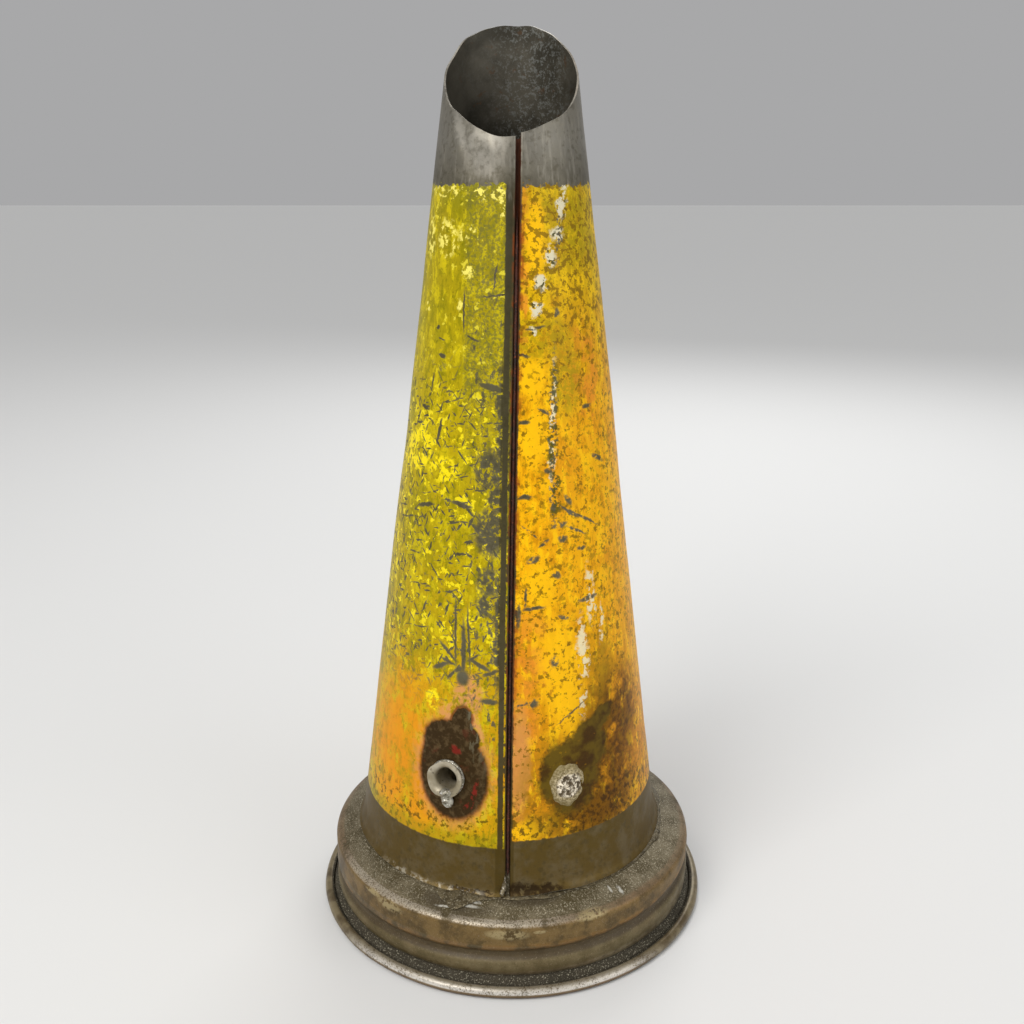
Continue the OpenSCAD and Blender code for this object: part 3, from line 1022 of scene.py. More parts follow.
    def spots(self, at: Place, marks: Sequence[tuple[float, ...]], soft: float = 0.25) -> Signal:
        """Mask of ovals, 1 inside any of them and 0 outside them all.

        Args:
            at: flat coordinates in millimetres.
            marks: each (x, z, half width, half height), and where it is turned, the turn.
            soft: width of an oval's edge, in shares of its size.
        """
        nearest = None
        for x, z, wide, high, *turn in marks:
            reach = self.reach(at, (x, z), (wide, high), turn[0] if turn else 0.0)
            nearest = reach if nearest is None else self.math("MINIMUM", nearest, reach)
        return self.rise(nearest, (1.0 + soft) ** 2, (1.0 - soft) ** 2)

    def ramp(self, level: Signal, stops: Sequence[tuple[float, str]]) -> Signal:
        """Colour that changes with a level, through stops of (level, colour)."""
        low, high = stops[0][0], stops[-1][0]
        node = self.tree.nodes.new("ShaderNodeValToRGB")
        self.feed(node.inputs[0], self.math("DIVIDE", level - low, high - low))
        band = node.color_ramp
        while len(band.elements) < len(stops):
            band.elements.new(0.5)
        for element, (at, code) in zip(band.elements, stops):
            element.position = (at - low) / (high - low)
            element.color = hue(code)
        return Signal(self, node.outputs["Color"])

    def mix(self, share: Level, first: Tint, second: Tint) -> Signal:
        """Mixes two colours; share 0 gives the first and 1 the second."""
        node = self.tree.nodes.new("ShaderNodeMix")
        node.data_type = "RGBA"
        self.feed(node.inputs[0], share)
        self.feed(node.inputs[6], first if isinstance(first, Signal) else hue(first))
        self.feed(node.inputs[7], second if isinstance(second, Signal) else hue(second))
        return Signal(self, node.outputs[2])

    def blend(self, share: Level, first: Level, second: Level) -> Signal:
        """Mixes two levels; share 0 gives the first and 1 the second."""
        node = self.tree.nodes.new("ShaderNodeMix")
        node.data_type = "FLOAT"
        self.feed(node.inputs[0], share)
        self.feed(node.inputs[2], first)
        self.feed(node.inputs[3], second)
        return Signal(self, node.outputs[0])

    def surface(self, colour: Signal, roughness: Level, metallic: Level, height: Signal,
                depth: float) -> bpy.types.Material:
        """Wires the shader.

        Args:
            colour: of the surface.
            roughness: of the surface.
            metallic: share of metal.
            height: relief as a level.
            depth: relief in millimetres between level 0 and level 1.

        Returns:
            The finished material.
        """
        self.feed(self.shader.inputs["Base Color"], colour)
        self.feed(self.shader.inputs["Roughness"], roughness)
        self.feed(self.shader.inputs["Metallic"], metallic)
        bump = self.tree.nodes.new("ShaderNodeBump")
        bump.inputs["Strength"].default_value = 1.0
        bump.inputs["Distance"].default_value = depth * MM
        self.feed(bump.inputs["Height"], height)
        self.tree.links.new(bump.outputs["Normal"], self.shader.inputs["Normal"])
        return self.material


class Half(Enum):
    """Which half of the printed cone a finish is for: the lock seam parts the two panels."""

    LEFT = "left"
    RIGHT = "right"


@dataclass(frozen=True)
class PrintedTin:
    """Lithographed tinplate, worn: yellow print with stains, chips and scratches over grey tin."""

    size: Measures
    half: Half
    print_top: float = 125.6
    print_low_left: float = 22.2
    print_low_right: float = 23.5
    left_stop: float = -1.75
    right_start: float = 0.62

    def build(self) -> bpy.types.Material:
        """Builds the material on flat coordinates: distance from the seam's groove, and height.

        The distance is azimuth * radius - seam_x, all in millimetres, negative to the left. Marks of
        one panel fade out towards the back, where both halves have the same clouded print.
        """
        net = Net("printed_tinplate_" + self.half.value)
        net.shader.inputs["Specular IOR Level"].default_value = 0.10
        wide = self.size.foot_r + self.size.shoulder_h * self.size.taper
        radius = wide - self.size.taper * net.z
        axis_x = net.rise(net.z, 20.0, self.size.top, 0.55) - 0.55
        azimuth = net.math("ARCTAN2", net.x - axis_x, net.y * -1.0)
        across = azimuth * radius - (net.z - self.size.seam_cross_h) * self.size.seam_lean
        flat = net.join(across, net.z)
        grain = net.noise(0.45, detail=2.0)
        fine = net.noise(0.9, detail=4.0, shift=3.0)
        mottle = net.noise(2.6, detail=4.0, shift=7.0)
        speck = net.noise(1.25, detail=3.0, shift=33.0)
        sway = net.noise(0.9, detail=4.0, shift=21.0) - 0.5
        lift = net.noise(0.9, detail=4.0, shift=27.0) - 0.5
        ragged = (across + sway * 2.4, net.z + lift * 2.4)
        crisp = (across + sway * 0.8, net.z + lift * 0.8)
        back = net.rise(net.math("ABSOLUTE", azimuth), 1.6, 2.9)
        front = 1.0 - back
        rear = net.rise(net.math("ABSOLUTE", azimuth), 2.0, 2.4)
        colour = self.base(net, back, mottle, fine, grain)
        if self.half is Half.LEFT:
            colour = self.left_panel(net, colour, front, across, ragged, mottle, fine, grain, speck)
            colour, burnt = self.vent_burn(net, colour, ragged, crisp, fine, mottle)
            loss = self.left_losses(net, front, across, flat, ragged, crisp, fine)
        else:
            colour = self.right_panel(net, colour, front, ragged, mottle, fine, speck)
            colour, burnt = self.plug_burn(net, colour, ragged, fine, mottle)
            loss = self.right_losses(net, ragged, crisp, fine, grain)
        tin, tin_rough = self.bare_tin(net, across, ragged, fine, mottle)
        kept = self.printed_area(net, across, rear, ragged, fine) * (1.0 - loss * (1.0 - rear))
        colour = net.mix(kept, tin, colour)
        colour, groove = self.groove_stain(net, colour, across, fine, mottle)
        roughness = net.blend(kept, tin_rough, net.blend(mottle, 0.30, 0.48))
        roughness = net.blend(burnt, roughness, 0.62)
        metal = net.blend(kept, 0.62, 0.0) * (1.0 - groove) * (1.0 - burnt * 0.9)
        height = grain * 0.12 + fine * 0.22 + mottle * 0.3
        return net.surface(colour, roughness, metal, height, depth=0.11)

    def base(self, net: Net, back: Signal, mottle: Signal, fine: Signal, grain: Signal) -> Signal:
        """Yellow of the print by height, in three sizes of blotch: clouds, mottle and fine dots."""
        left = 1.0 - back * 0.5
        if self.half is Half.RIGHT:
            left = back * 0.5 + (1.0 - back) * net.rise(net.z, 88.0, 122.0, 0.38)
        cloud = net.noise(9.0, detail=3.0, shift=11.0)
        left_tint = net.ramp(net.z, (
            (20.0, "#cda006"), (34.0, "#d99606"), (46.0, "#cc9f08"), (58.0, "#b89c06"), (90.0, "#b8a108"),
            (108.0, "#aa9708"), (122.0, "#9c8c10"), (126.0, "#8e8426")))
        right_tint = net.ramp(net.z, (
            (20.0, "#c48a0a"), (36.0, "#cf8a0e"), (48.0, "#e39f08"), (66.0, "#f0ac06"), (92.0, "#f3b206"),
            (112.0, "#f0c408"), (126.0, "#dab814")))
        colour = net.mix(left, right_tint, left_tint)
        colour = net.mix(net.rise(cloud, 0.46, 0.66, 0.45), colour, net.mix(left, "#cf7d0c", "#878406"))
        streaky = net.noise(1.1, net.join(net.x, net.y, net.z * 0.34), 4.0, 0.62, 15.0)
        colour = net.mix(net.rise(streaky, 0.52, 0.60, 0.75), colour, net.mix(left, "#ffc80c", "#cdb90e"))
        colour = net.mix(net.rise(streaky, 0.46, 0.38, 0.75), colour, net.mix(left, "#c78603", "#8a8104"))
        colour = net.mix(net.rise(mottle, 0.53, 0.64, 0.6), colour, net.mix(left, "#fbc00a", "#d6c10c"))
        colour = net.mix(net.rise(fine, 0.46, 0.36, 0.6), colour, net.mix(left, "#a8730a", "#7c7604"))
        return net.mix(net.rise(grain, 0.42, 0.30, 0.6), colour, net.mix(left, "#8d5f08", "#6a6606"))

    def left_panel(self, net: Net, colour: Signal, front: Signal, across: Signal, ragged: Place,
                   mottle: Signal, fine: Signal, grain: Signal, speck: Signal) -> Signal:
        """Stains and flecks of the left panel: olive band by the seam, orange low down, pale chips."""
        band = net.within(across, -7.5, -1.0, 1.2) * net.rise(net.z, 78.0, 100.0) * front
        colour = net.mix(band * net.rise(grain, 0.40, 0.62, 0.8), colour, "#6f6a2c")
        orange = net.spots(ragged, ((-19.0, 33.0, 8.0, 13.0),), 0.7) * front
        colour = net.mix(orange * net.rise(mottle, 0.35, 0.6, 0.85), colour, "#e5900f")
        flecks = net.rise(speck, 0.575, 0.605) * net.within(net.z, 58.0, 90.0, 14.0) * front
        colour = net.mix(flecks * 0.9, colour, "#f2dc1a")
        few = net.rise(speck, 0.63, 0.65) * net.rise(net.z, 88.0, 96.0) * front
        colour = net.mix(few * 0.8, colour, "#e2d23a")
        bright = net.spots(ragged, (
            (-19.0, 84.5, 4.5, 2.6, 10), (-12.0, 83.0, 3.0, 2.0), (-13.2, 45.8, 1.3, 1.6),
            (-17.0, 87.0, 3.0, 1.5)))
        colour = net.mix(bright * net.rise(speck, 0.44, 0.50, 0.9), colour, "#fbe316")
        chips = net.spots(ragged, (
            (-11.8, 118.0, 2.3, 2.6), (-7.8, 118.6, 1.5, 1.2), (-7.6, 113.2, 1.1, 0.9),
            (-16.6, 118.0, 1.4, 3.0), (-8.9, 108.2, 0.6, 0.8), (-16.6, 107.4, 0.9, 0.7),
            (-12.5, 124.8, 4.0, 0.9), (-4.2, 124.6, 3.0, 1.0), (-2.4, 122.5, 0.5, 1.4)))
        colour = net.mix(chips * net.rise(fine, 0.50, 0.56), colour, "#f1e36a")
        low = net.rise(net.z, 31.0, 26.0) * net.rise(fine, 0.48, 0.41) * front
        colour = net.mix(low * 0.8, colour, "#5f4806")
        fringe = net.rise(net.z, 25.0, 23.4) * front
        colour = net.mix(fringe * 0.45, colour, "#8f8508")
        return colour

    def right_panel(self, net: Net, colour: Signal, front: Signal, ragged: Place, mottle: Signal,
                    fine: Signal, speck: Signal) -> Signal:
        """Stains of the right panel: peach rust by the seam and at the side, olive top, brown low down."""
        peach = net.spots(ragged, (
            (1.6, 45.0, 2.6, 15.0), (4.6, 54.0, 2.6, 6.0), (12.8, 97.0, 2.6, 8.0, 8),
            (1.0, 112.0, 0.8, 14.0), (1.6, 122.6, 2.0, 0.7, 8)), 0.55)
        colour = net.mix(peach * net.rise(mottle, 0.38, 0.62, 0.70) * front, colour, "#e0822c")
        pale = net.spots(ragged, ((1.6, 37.0, 1.6, 8.0),), 0.5)
        colour = net.mix(pale * front * 0.75, colour, "#cf8f4d")
        olive = net.spots(ragged, (
            (9.5, 119.0, 3.4, 5.0), (12.5, 116.5, 4.0, 3.0), (4.0, 103.5, 4.5, 3.0),
            (8.5, 122.5, 7.0, 2.0), (8.6, 97.0, 2.5, 5.0)), 0.45)
        colour = net.mix(olive * net.rise(fine, 0.40, 0.54, 0.75) * front, colour, "#a08a08")
        leafy = net.rise(fine, 0.47, 0.39) * net.within(net.z, 60.0, 140.0, 22.0) * front
        colour = net.mix(leafy * 0.36, colour, "#937d06")
        bright = net.spots(ragged, (
            (2.8, 118.0, 1.4, 5.5), (2.8, 97.5, 1.7, 2.6), (2.9, 88.0, 2.1, 3.6), (4.4, 65.5, 2.2, 3.2),
            (8.5, 50.0, 3.2, 9.0, 12), (3.0, 25.0, 2.4, 1.4)), 0.5)
        colour = net.mix(bright * front * net.rise(fine, 0.36, 0.46, 0.85), colour, "#fdc10c")
        brown = net.spots(ragged, (
            (16.0, 49.5, 2.8, 5.5), (12.5, 26.5, 7.5, 3.2), (7.0, 31.5, 4.5, 7.0)), 0.6)
        colour = net.mix(brown * front * net.rise(mottle, 0.30, 0.55, 0.75), colour, "#94710c")
        dots = net.noise(1.0, detail=4.0, shift=37.0)
        dense = net.blend(net.rise(net.z, 96.0, 112.0), 0.0, 0.05)
        colour = net.mix(net.rise(dots + dense, 0.570, 0.610) * front * 0.8, colour, "#7a5c0a")
        under = net.rise(net.z, 33.0, 27.0) * net.rise(fine, 0.49, 0.42) * front
        colour = net.mix(under * 0.8, colour, "#5f4a0a")
        chips = net.spots(ragged, (
            (7.2, 123.0, 0.9, 2.2, -8), (6.3, 118.6, 1.1, 0.9), (5.3, 115.4, 1.0, 1.5),
            (3.9, 111.7, 0.9, 1.1, 20), (3.1, 107.8, 0.8, 1.1), (7.8, 126.0, 0.5, 1.2),
            (2.6, 104.6, 0.6, 0.5)), 0.35)
        colour = net.mix(chips * net.rise(fine, 0.45, 0.49), colour, "#dcd3b4")
        colour = net.mix(chips * net.rise(dots, 0.54, 0.58), colour, "#4f4a22")
        streak = net.spots(ragged, (
            (13.9, 62.5, 0.9, 4.4, 8), (12.4, 54.0, 1.0, 5.0, 6), (12.5, 46.6, 0.7, 3.4),
            (16.4, 57.5, 0.45, 3.0), (6.1, 90.0, 0.5, 9.0)), 0.4)
        colour = net.mix(streak * net.rise(speck, 0.50, 0.54, 0.9) * front, colour, "#ecdfb6")
        seam_line = net.spots(ragged, ((6.2, 91.0, 0.75, 9.5), (6.8, 80.0, 0.8, 4.0)), 0.5)
        return net.mix(seam_line * net.rise(fine, 0.52, 0.46, 0.9) * front, colour, "#43480f")

    def left_losses(self, net: Net, front: Signal, across: Signal, flat: Signal, ragged: Place,
                    crisp: Place, fine: Signal) -> Signal:
        """Where the left print is gone: strokes, a forked scratch, patches, short random marks."""
        strokes = net.spots(crisp, (
            (-8.2, 107.4, 0.16, 2.9), (-6.6, 103.4, 1.1, 0.17, -25), (-12.6, 102.9, 0.7, 0.14, -12),
            (-12.4, 100.4, 0.8, 0.34, -8), (-13.5, 104.6, 0.4, 0.25, 40), (-14.5, 96.3, 0.18, 1.3, -14),
            (-3.2, 112.4, 0.14, 2.0, -8), (-2.6, 109.9, 2.6, 0.14, 8), (-3.5, 96.2, 2.2, 0.5, -14),
            (-16.4, 92.0, 1.0, 0.3, -18), (-18.0, 89.4, 1.0, 0.2, 14), (-12.7, 88.9, 0.3, 2.0, -14),
            (-15.4, 76.9, 1.9, 0.3, 14), (-8.2, 78.0, 1.7, 0.4, -12), (-6.8, 77.0, 1.0, 0.2, -45)))
        anchor = net.spots(crisp, (
            (-9.0, 57.5, 0.20, 5.0), (-7.6, 55.0, 0.36, 4.2), (-6.7, 56.8, 0.16, 4.6, 3),
            (-7.7, 50.4, 1.0, 1.2), (-10.4, 54.3, 1.9, 0.26, -42), (-11.7, 51.7, 1.5, 0.34, 28),
            (-10.2, 52.6, 1.2, 0.22, -18), (-5.0, 52.8, 1.9, 0.34, -26), (-3.0, 51.6, 1.3, 0.30, 20),
            (-6.0, 53.8, 1.1, 0.22, 35), (-3.3, 46.9, 1.4, 0.42), (-9.7, 50.6, 1.0, 0.25, 48),
            (-8.4, 51.6, 0.8, 0.4, 30)), 0.45)
        by_seam = net.spots(ragged, (
            (-3.6, 83.6, 2.2, 3.0), (-3.3, 74.0, 2.6, 3.6), (-3.4, 66.2, 2.0, 2.0), (-1.9, 58.0, 0.7, 9.0),
            (-1.9, 92.0, 0.7, 8.0), (-4.2, 62.5, 1.2, 1.8), (-2.4, 79.0, 1.4, 2.2)), 0.35)
        by_seam = by_seam * net.rise(fine, 0.60, 0.50)
        dots = net.within(across, -6.4, -1.4, 0.8) * net.within(net.z, 44.0, 104.0, 14.0)
        streaky = net.noise(0.8, net.join(net.x, net.y, net.z * 0.45), 3.0, 0.6, 5.0)
        dots = dots * net.rise(streaky, 0.56, 0.62)
        marks = self.random_strokes(net, flat) * net.within(net.z, 54.0, 92.0, 12.0)
        marks = marks * front * net.rise(across, -0.5, -1.2)
        return strokes | anchor | by_seam | dots * 0.9 | marks

    def right_losses(self, net: Net, ragged: Place, crisp: Place, fine: Signal, grain: Signal) -> Signal:
        """Where the right print is gone: short marks at middle height and a dotted upright line."""
        right_marks = net.spots(crisp, (
            (12.0, 75.4, 3.4, 0.20, -28), (9.4, 76.6, 2.0, 0.22, -32), (7.6, 74.8, 1.2, 0.40, 10),
            (10.6, 73.6, 1.9, 0.18, -25), (9.0, 78.6, 1.0, 0.35, -50), (8.2, 72.6, 0.8, 0.5),
            (3.6, 62.0, 1.6, 0.28, 3), (2.2, 63.8, 0.18, 1.4), (3.4, 69.7, 1.0, 0.5, 20),
            (7.2, 67.0, 0.8, 0.5, -30), (3.6, 46.6, 1.0, 0.7), (1.9, 46.4, 1.3, 0.14, 12),
            (12.6, 92.6, 0.9, 0.35, 5), (15.2, 84.2, 1.6, 0.35, -25), (13.4, 62.2, 1.8, 0.35, 5),
            (1.4, 101.0, 1.0, 0.22, -8), (3.0, 105.0, 1.4, 0.25, 8), (10.6, 44.2, 2.8, 0.13, 30),
            (4.6, 92.6, 1.0, 0.22, -30), (6.5, 106.8, 0.4, 0.9), (7.2, 53.0, 0.6, 0.9),
            (1.6, 79.6, 1.3, 0.35), (2.8, 74.0, 1.5, 0.16, -40), (1.0, 61.0, 0.5, 1.8),
            (8.6, 60.0, 1.0, 0.3, -15), (5.0, 72.2, 0.9, 0.25, 35), (11.8, 70.6, 0.8, 0.4),
            (1.4, 91.0, 0.9, 0.3), (5.6, 83.4, 0.7, 0.4)), 0.4)
        right_marks = right_marks * net.rise(fine, 0.62, 0.50)
        line = net.spots(ragged, ((6.2, 91.0, 0.5, 9.5), (6.6, 79.0, 0.6, 3.5), (6.6, 119.0, 0.4, 4.0)), 0.5)
        line = line * net.rise(grain, 0.52, 0.56)
        return right_marks | line

    def random_strokes(self, net: Net, flat: Signal) -> Signal:
        """Short dark strokes in three directions."""
        total = None
        for turn, shift in ((62.0, 1.0), (-48.0, 2.0), (12.0, 3.0)):
            along = net.mapped(flat, turn, 2.5, 0.62)
            stroke = net.rise(net.noise(1.0, along, 2.0, 0.5, shift), 0.61, 0.635)
            total = stroke if total is None else total | stroke
        return total

    def printed_area(self, net: Net, across: Signal, rear: Signal, ragged: Place, fine: Signal) -> Signal:
        """Mask of the print: a ragged top, a straight foot and a bare strip by the seam."""
        height = ragged[1] + (fine - 0.5) * 3.0
        top = net.rise(height, self.print_top + 0.12, self.print_top - 0.12)
        foot = self.print_low_left if self.half is Half.LEFT else self.print_low_right
        foot = rear * (22.85 - foot) + foot
        low = net.rise(net.z + (fine - 0.5) * 0.5 - foot, -0.15, 0.15)
        edge = across + (fine - 0.5) * 0.5
        if self.half is Half.RIGHT:
            return top * low * (net.rise(edge, self.right_start - 0.08, self.right_start + 0.12) | rear)
        line = net.within(edge, -0.86, -0.66, 0.08) * net.rise(fine, 0.60, 0.50)
        line = line * net.rise(net.z, 118.0, 60.0)
        return top * low * (net.rise(edge, self.left_stop + 0.12, self.left_stop - 0.12) | line | rear)

    def vent_burn(self, net: Net, colour: Signal, ragged: Place, crisp: Place, fine: Signal,
                  mottle: Signal) -> tuple[Signal, Signal]:
        """Scorched print round the vent: a teardrop with a pink rim.

        Returns:
            The colour, and the mask of what is burnt.
        """
        halo = net.spots(ragged, (
            (-6.9, 47.0, 2.3, 3.8, -12), (-8.6, 43.6, 3.2, 2.2), (-5.6, 41.6, 1.3, 4.6, 14),
            (-9.8, 34.2, 6.7, 8.4)), 0.3)
        colour = net.mix(halo * net.rise(fine, 0.36, 0.56, 0.85), colour, "#d5935c")
        drop = net.spots(crisp, (
            (-9.5, 33.9, 6.1, 7.5), (-10.2, 38.4, 4.7, 4.3, -22), (-7.9, 42.8, 1.7, 2.7, -14),
            (-8.3, 40.2, 3.6, 3.0)), 0.06)
        rim = net.spots(crisp, (
            (-9.5, 33.9, 6.4, 7.8), (-10.2, 38.4, 5.0, 4.6, -22), (-7.9, 43.0, 2.0, 3.0, -14)), 0.10)
        colour = net.mix(rim * 0.85, colour, "#6d3415")
        char = net.mix(net.rise(fine, 0.44, 0.70), "#35260f", "#55442a")
        char = net.mix(net.rise(mottle, 0.56, 0.68, 0.6), char, "#5a2f1c")
        colour = net.mix(drop, colour, char)
        red = net.spots(crisp, (
            (-8.9, 38.2, 1.0, 0.6, -25), (-5.7, 31.0, 0.4, 2.4, -14), (-6.6, 29.0, 0.9, 0.5, 35)), 0.3)
        colour = net.mix(red * net.rise(fine, 0.40, 0.50, 0.85), colour, "#7c2018")
        return colour, drop

    def plug_burn(self, net: Net, colour: Signal, ragged: Place, fine: Signal,
                  mottle: Signal) -> tuple[Signal, Signal]:
        """Scorched print round the plug: brown to the right, dark above.

        Returns:
            The colour, and the mask of what is burnt.
        """
        fade = net.spots(ragged, (
            (18.5, 34.0, 6.0, 11.0, 10), (16.5, 27.5, 8.0, 5.0), (21.0, 41.0, 5.5, 7.0)), 0.5)
        fade = fade * net.rise(mottle, 0.30, 0.52, 0.9)
        colour = net.mix(fade, colour, net.mix(net.rise(fine, 0.4, 0.6), "#412500", "#6f4500"))
        dark = net.spots(ragged, (
            (13.6, 40.2, 4.0, 2.0, 30), (10.6, 37.4, 4.2, 2.6, 24), (15.4, 37.2, 2.2, 3.4),
            (7.2, 34.6, 2.2, 4.6, -8), (11.0, 33.0, 4.8, 5.8), (16.4, 42.0, 3.0, 1.6, 28)), 0.22)
        dark = dark * net.rise(fine, 0.26, 0.40, 0.97)
        colour = net.mix(dark, colour, net.mix(net.rise(mottle, 0.4, 0.6), "#3b270a", "#5d4a10"))
        return colour, dark * 0.6

    def bare_tin(self, net: Net, across: Signal, ragged: Place, fine: Signal,
                 mottle: Signal) -> tuple[Signal, Signal]:
        """Bare tinplate under and round the print: olive-brown low down, grey at the mouth and brighter
        there, partly as painted reflection, with a painted highlight on the buckle.

        Returns:
            The colour and the roughness.
        """
        # Tint by height; its light grey stop at 132 mm, at the rim's front, is partly painted reflection.
        tint = net.ramp(net.z, (
            (14.0, "#62502a"), (24.0, "#5b4a22"), (45.0, "#66604a"), (100.0, "#605a40"),
            (124.0, "#565040"), (132.0, "#7f7b71"), (150.0, "#6a665c")))
        # Light mottle near the mouth: tin colour, partly painted reflection.
        upper = net.rise(net.z, 118.0, 126.0)
        tint = net.mix(net.rise(mottle, 0.40, 0.70) * net.blend(upper, 0.2, 0.4), tint, "#8b8575")
        tint = net.mix(net.rise(fine, 0.50, 0.34, 0.4), tint, "#423b28")
        by_seam = net.within(across, -1.9, 0.8, 0.3) * net.rise(net.z, 128.0, 124.0)
        tint = net.mix(by_seam * 0.65, tint, net.ramp(net.z, (
            (20.0, "#4c3d16"), (60.0, "#453c1e"), (124.0, "#37331f"))))
        # Painted highlight: a pale patch on the dented bare band at the front left, where the buckled tin
        # catches the light.
        buckle_highlight = net.spots(ragged, (
            (-5.4, 130.6, 2.1, 2.6, 25), (-3.4, 132.4, 1.6, 1.3), (-9.4, 133.4, 0.7, 2.6, 20)), 0.8)
        tint = net.mix(buckle_highlight * net.blend(net.rise(fine, 0.30, 0.62), 0.24, 0.50), tint, "#b8b3a8")
        # Light upright streaks near the mouth: partly painted reflection.
        streak = net.noise(0.7, net.join(net.x, net.y, net.z * 0.1), 3.0, 0.6, 9.0)
        tint = net.mix(net.rise(streak, 0.50, 0.70, 0.4) * upper, tint, "#a39d90")
        dirt = net.spots(ragged, ((2.6, 15.2, 3.4, 0.9), (6.0, 15.0, 3.0, 0.6), (-6.0, 14.6, 4.0, 0.3)), 0.4)
        tint = net.mix(dirt * net.rise(fine, 0.38, 0.50, 0.9), tint, "#2c1f10")
        edge = net.rise(net.z, 15.1, 14.5) * net.rise(across, -3.0, -6.0) * net.rise(across, -26.0, -20.0)
        tint = net.mix(edge * net.rise(fine, 0.46, 0.60, 0.6), tint, "#b5ae9c")
        return tint, net.blend(fine, 0.40, 0.56)

    def groove_stain(self, net: Net, colour: Signal, across: Signal, fine: Signal,
                     mottle: Signal) -> tuple[Signal, Signal]:
        """Dark rust in and beside the groove.

        Returns:
            The colour, and the mask of the rust.
        """
        ragged_edge = across + (fine - 0.5) * 0.3
        rust = net.within(ragged_edge, -0.34, 0.36, 0.10)
        bleed = net.within(ragged_edge, -0.5, 0.9, 0.35) * net.rise(net.z, 126.0, 118.0)
        bleed = bleed * net.rise(net.z, 28.0, 60.0)
        colour = net.mix(bleed * net.rise(mottle, 0.40, 0.58, 0.7), colour, "#8a3f12")
        deep = net.ramp(net.z, (
            (22.0, "#2a1c0c"), (60.0, "#35200e"), (100.0, "#4a220e"), (122.0, "#5a280e")))
        colour = net.mix(rust * 0.95, colour, net.mix(mottle, "#1c1208", deep))
        return colour, rust


@dataclass(frozen=True)
class TinInside:
    """Dull dark tin of the cone's inner face, with pale corrosion specks."""

    name: str = "dull_tin_inside"

    def build(self) -> bpy.types.Material:
        """Builds the material."""
        net = Net(self.name)
        fine = net.noise(0.8, detail=4.0)
        cloud = net.noise(6.0, detail=3.0, shift=4.0)
        colour = net.mix(net.rise(cloud, 0.35, 0.65), "#3c382d", "#5c574b")
        place = net.rise(net.x, -5.0, 2.0) * net.rise(net.x, 10.0, 7.0) * net.rise(net.z, 126.0, 130.0)
        grains = net.noise(0.32, detail=5.0, rough_share=0.7, shift=2.0) * 0.6 + fine * 0.4
        specks = net.rise(grains, 0.50, 0.57) * net.blend(place, 0.12, 1.0)
        colour = net.mix(specks * 0.55, colour, "#8b8d88")
        brown = net.rise(net.noise(1.4, detail=3.0, shift=8.0), 0.60, 0.68)
        colour = net.mix(brown * 0.5, colour, "#5c3f24")
        return net.surface(colour, net.blend(fine, 0.42, 0.66), 0.5, fine, depth=0.06)


@dataclass(frozen=True)
class AgedTin:
    """Aged tinplate: clouded grey-olive metal with brown lacquer, dark grime and rubbed bright places."""

    name: str
    low: str = "#4e4228"
    high: str = "#7c7056"
    bright: str = "#c9c2b2"
    rust: str = "#6b3f1c"
    metallic: float = 0.62
    rust_share: float = 0.5

    def net(self) -> tuple[Net, Signal, Signal, Signal, Signal]:
        """Starts the material and gives its net, colour, fine noise, mottle and rust mask."""
        net = Net(self.name)
        fine = net.noise(0.7, detail=4.0)
        mottle = net.noise(3.2, detail=4.0, shift=5.0)
        cloud = net.noise(12.0, detail=3.0, shift=9.0)
        colour = net.mix(net.rise(mottle, 0.34, 0.66), self.low, self.high)
        colour = net.mix(net.rise(fine, 0.46, 0.30, 0.7), colour, "#2e2614")
        rust = net.rise(cloud, 0.47, 0.66, self.rust_share) * net.rise(mottle, 0.36, 0.60)
        colour = net.mix(rust, colour, self.rust)
        colour = net.mix(net.rise(fine, 0.66, 0.74, 0.55), colour, self.bright)
        return net, colour, fine, mottle, rust

    def build(self) -> bpy.types.Material:
        """Builds the material."""
        net, colour, fine, _, rust = self.net()
        roughness = net.blend(fine, 0.34, 0.55) + rust * 0.15
        return net.surface(colour, roughness, self.metallic, fine, depth=0.06)


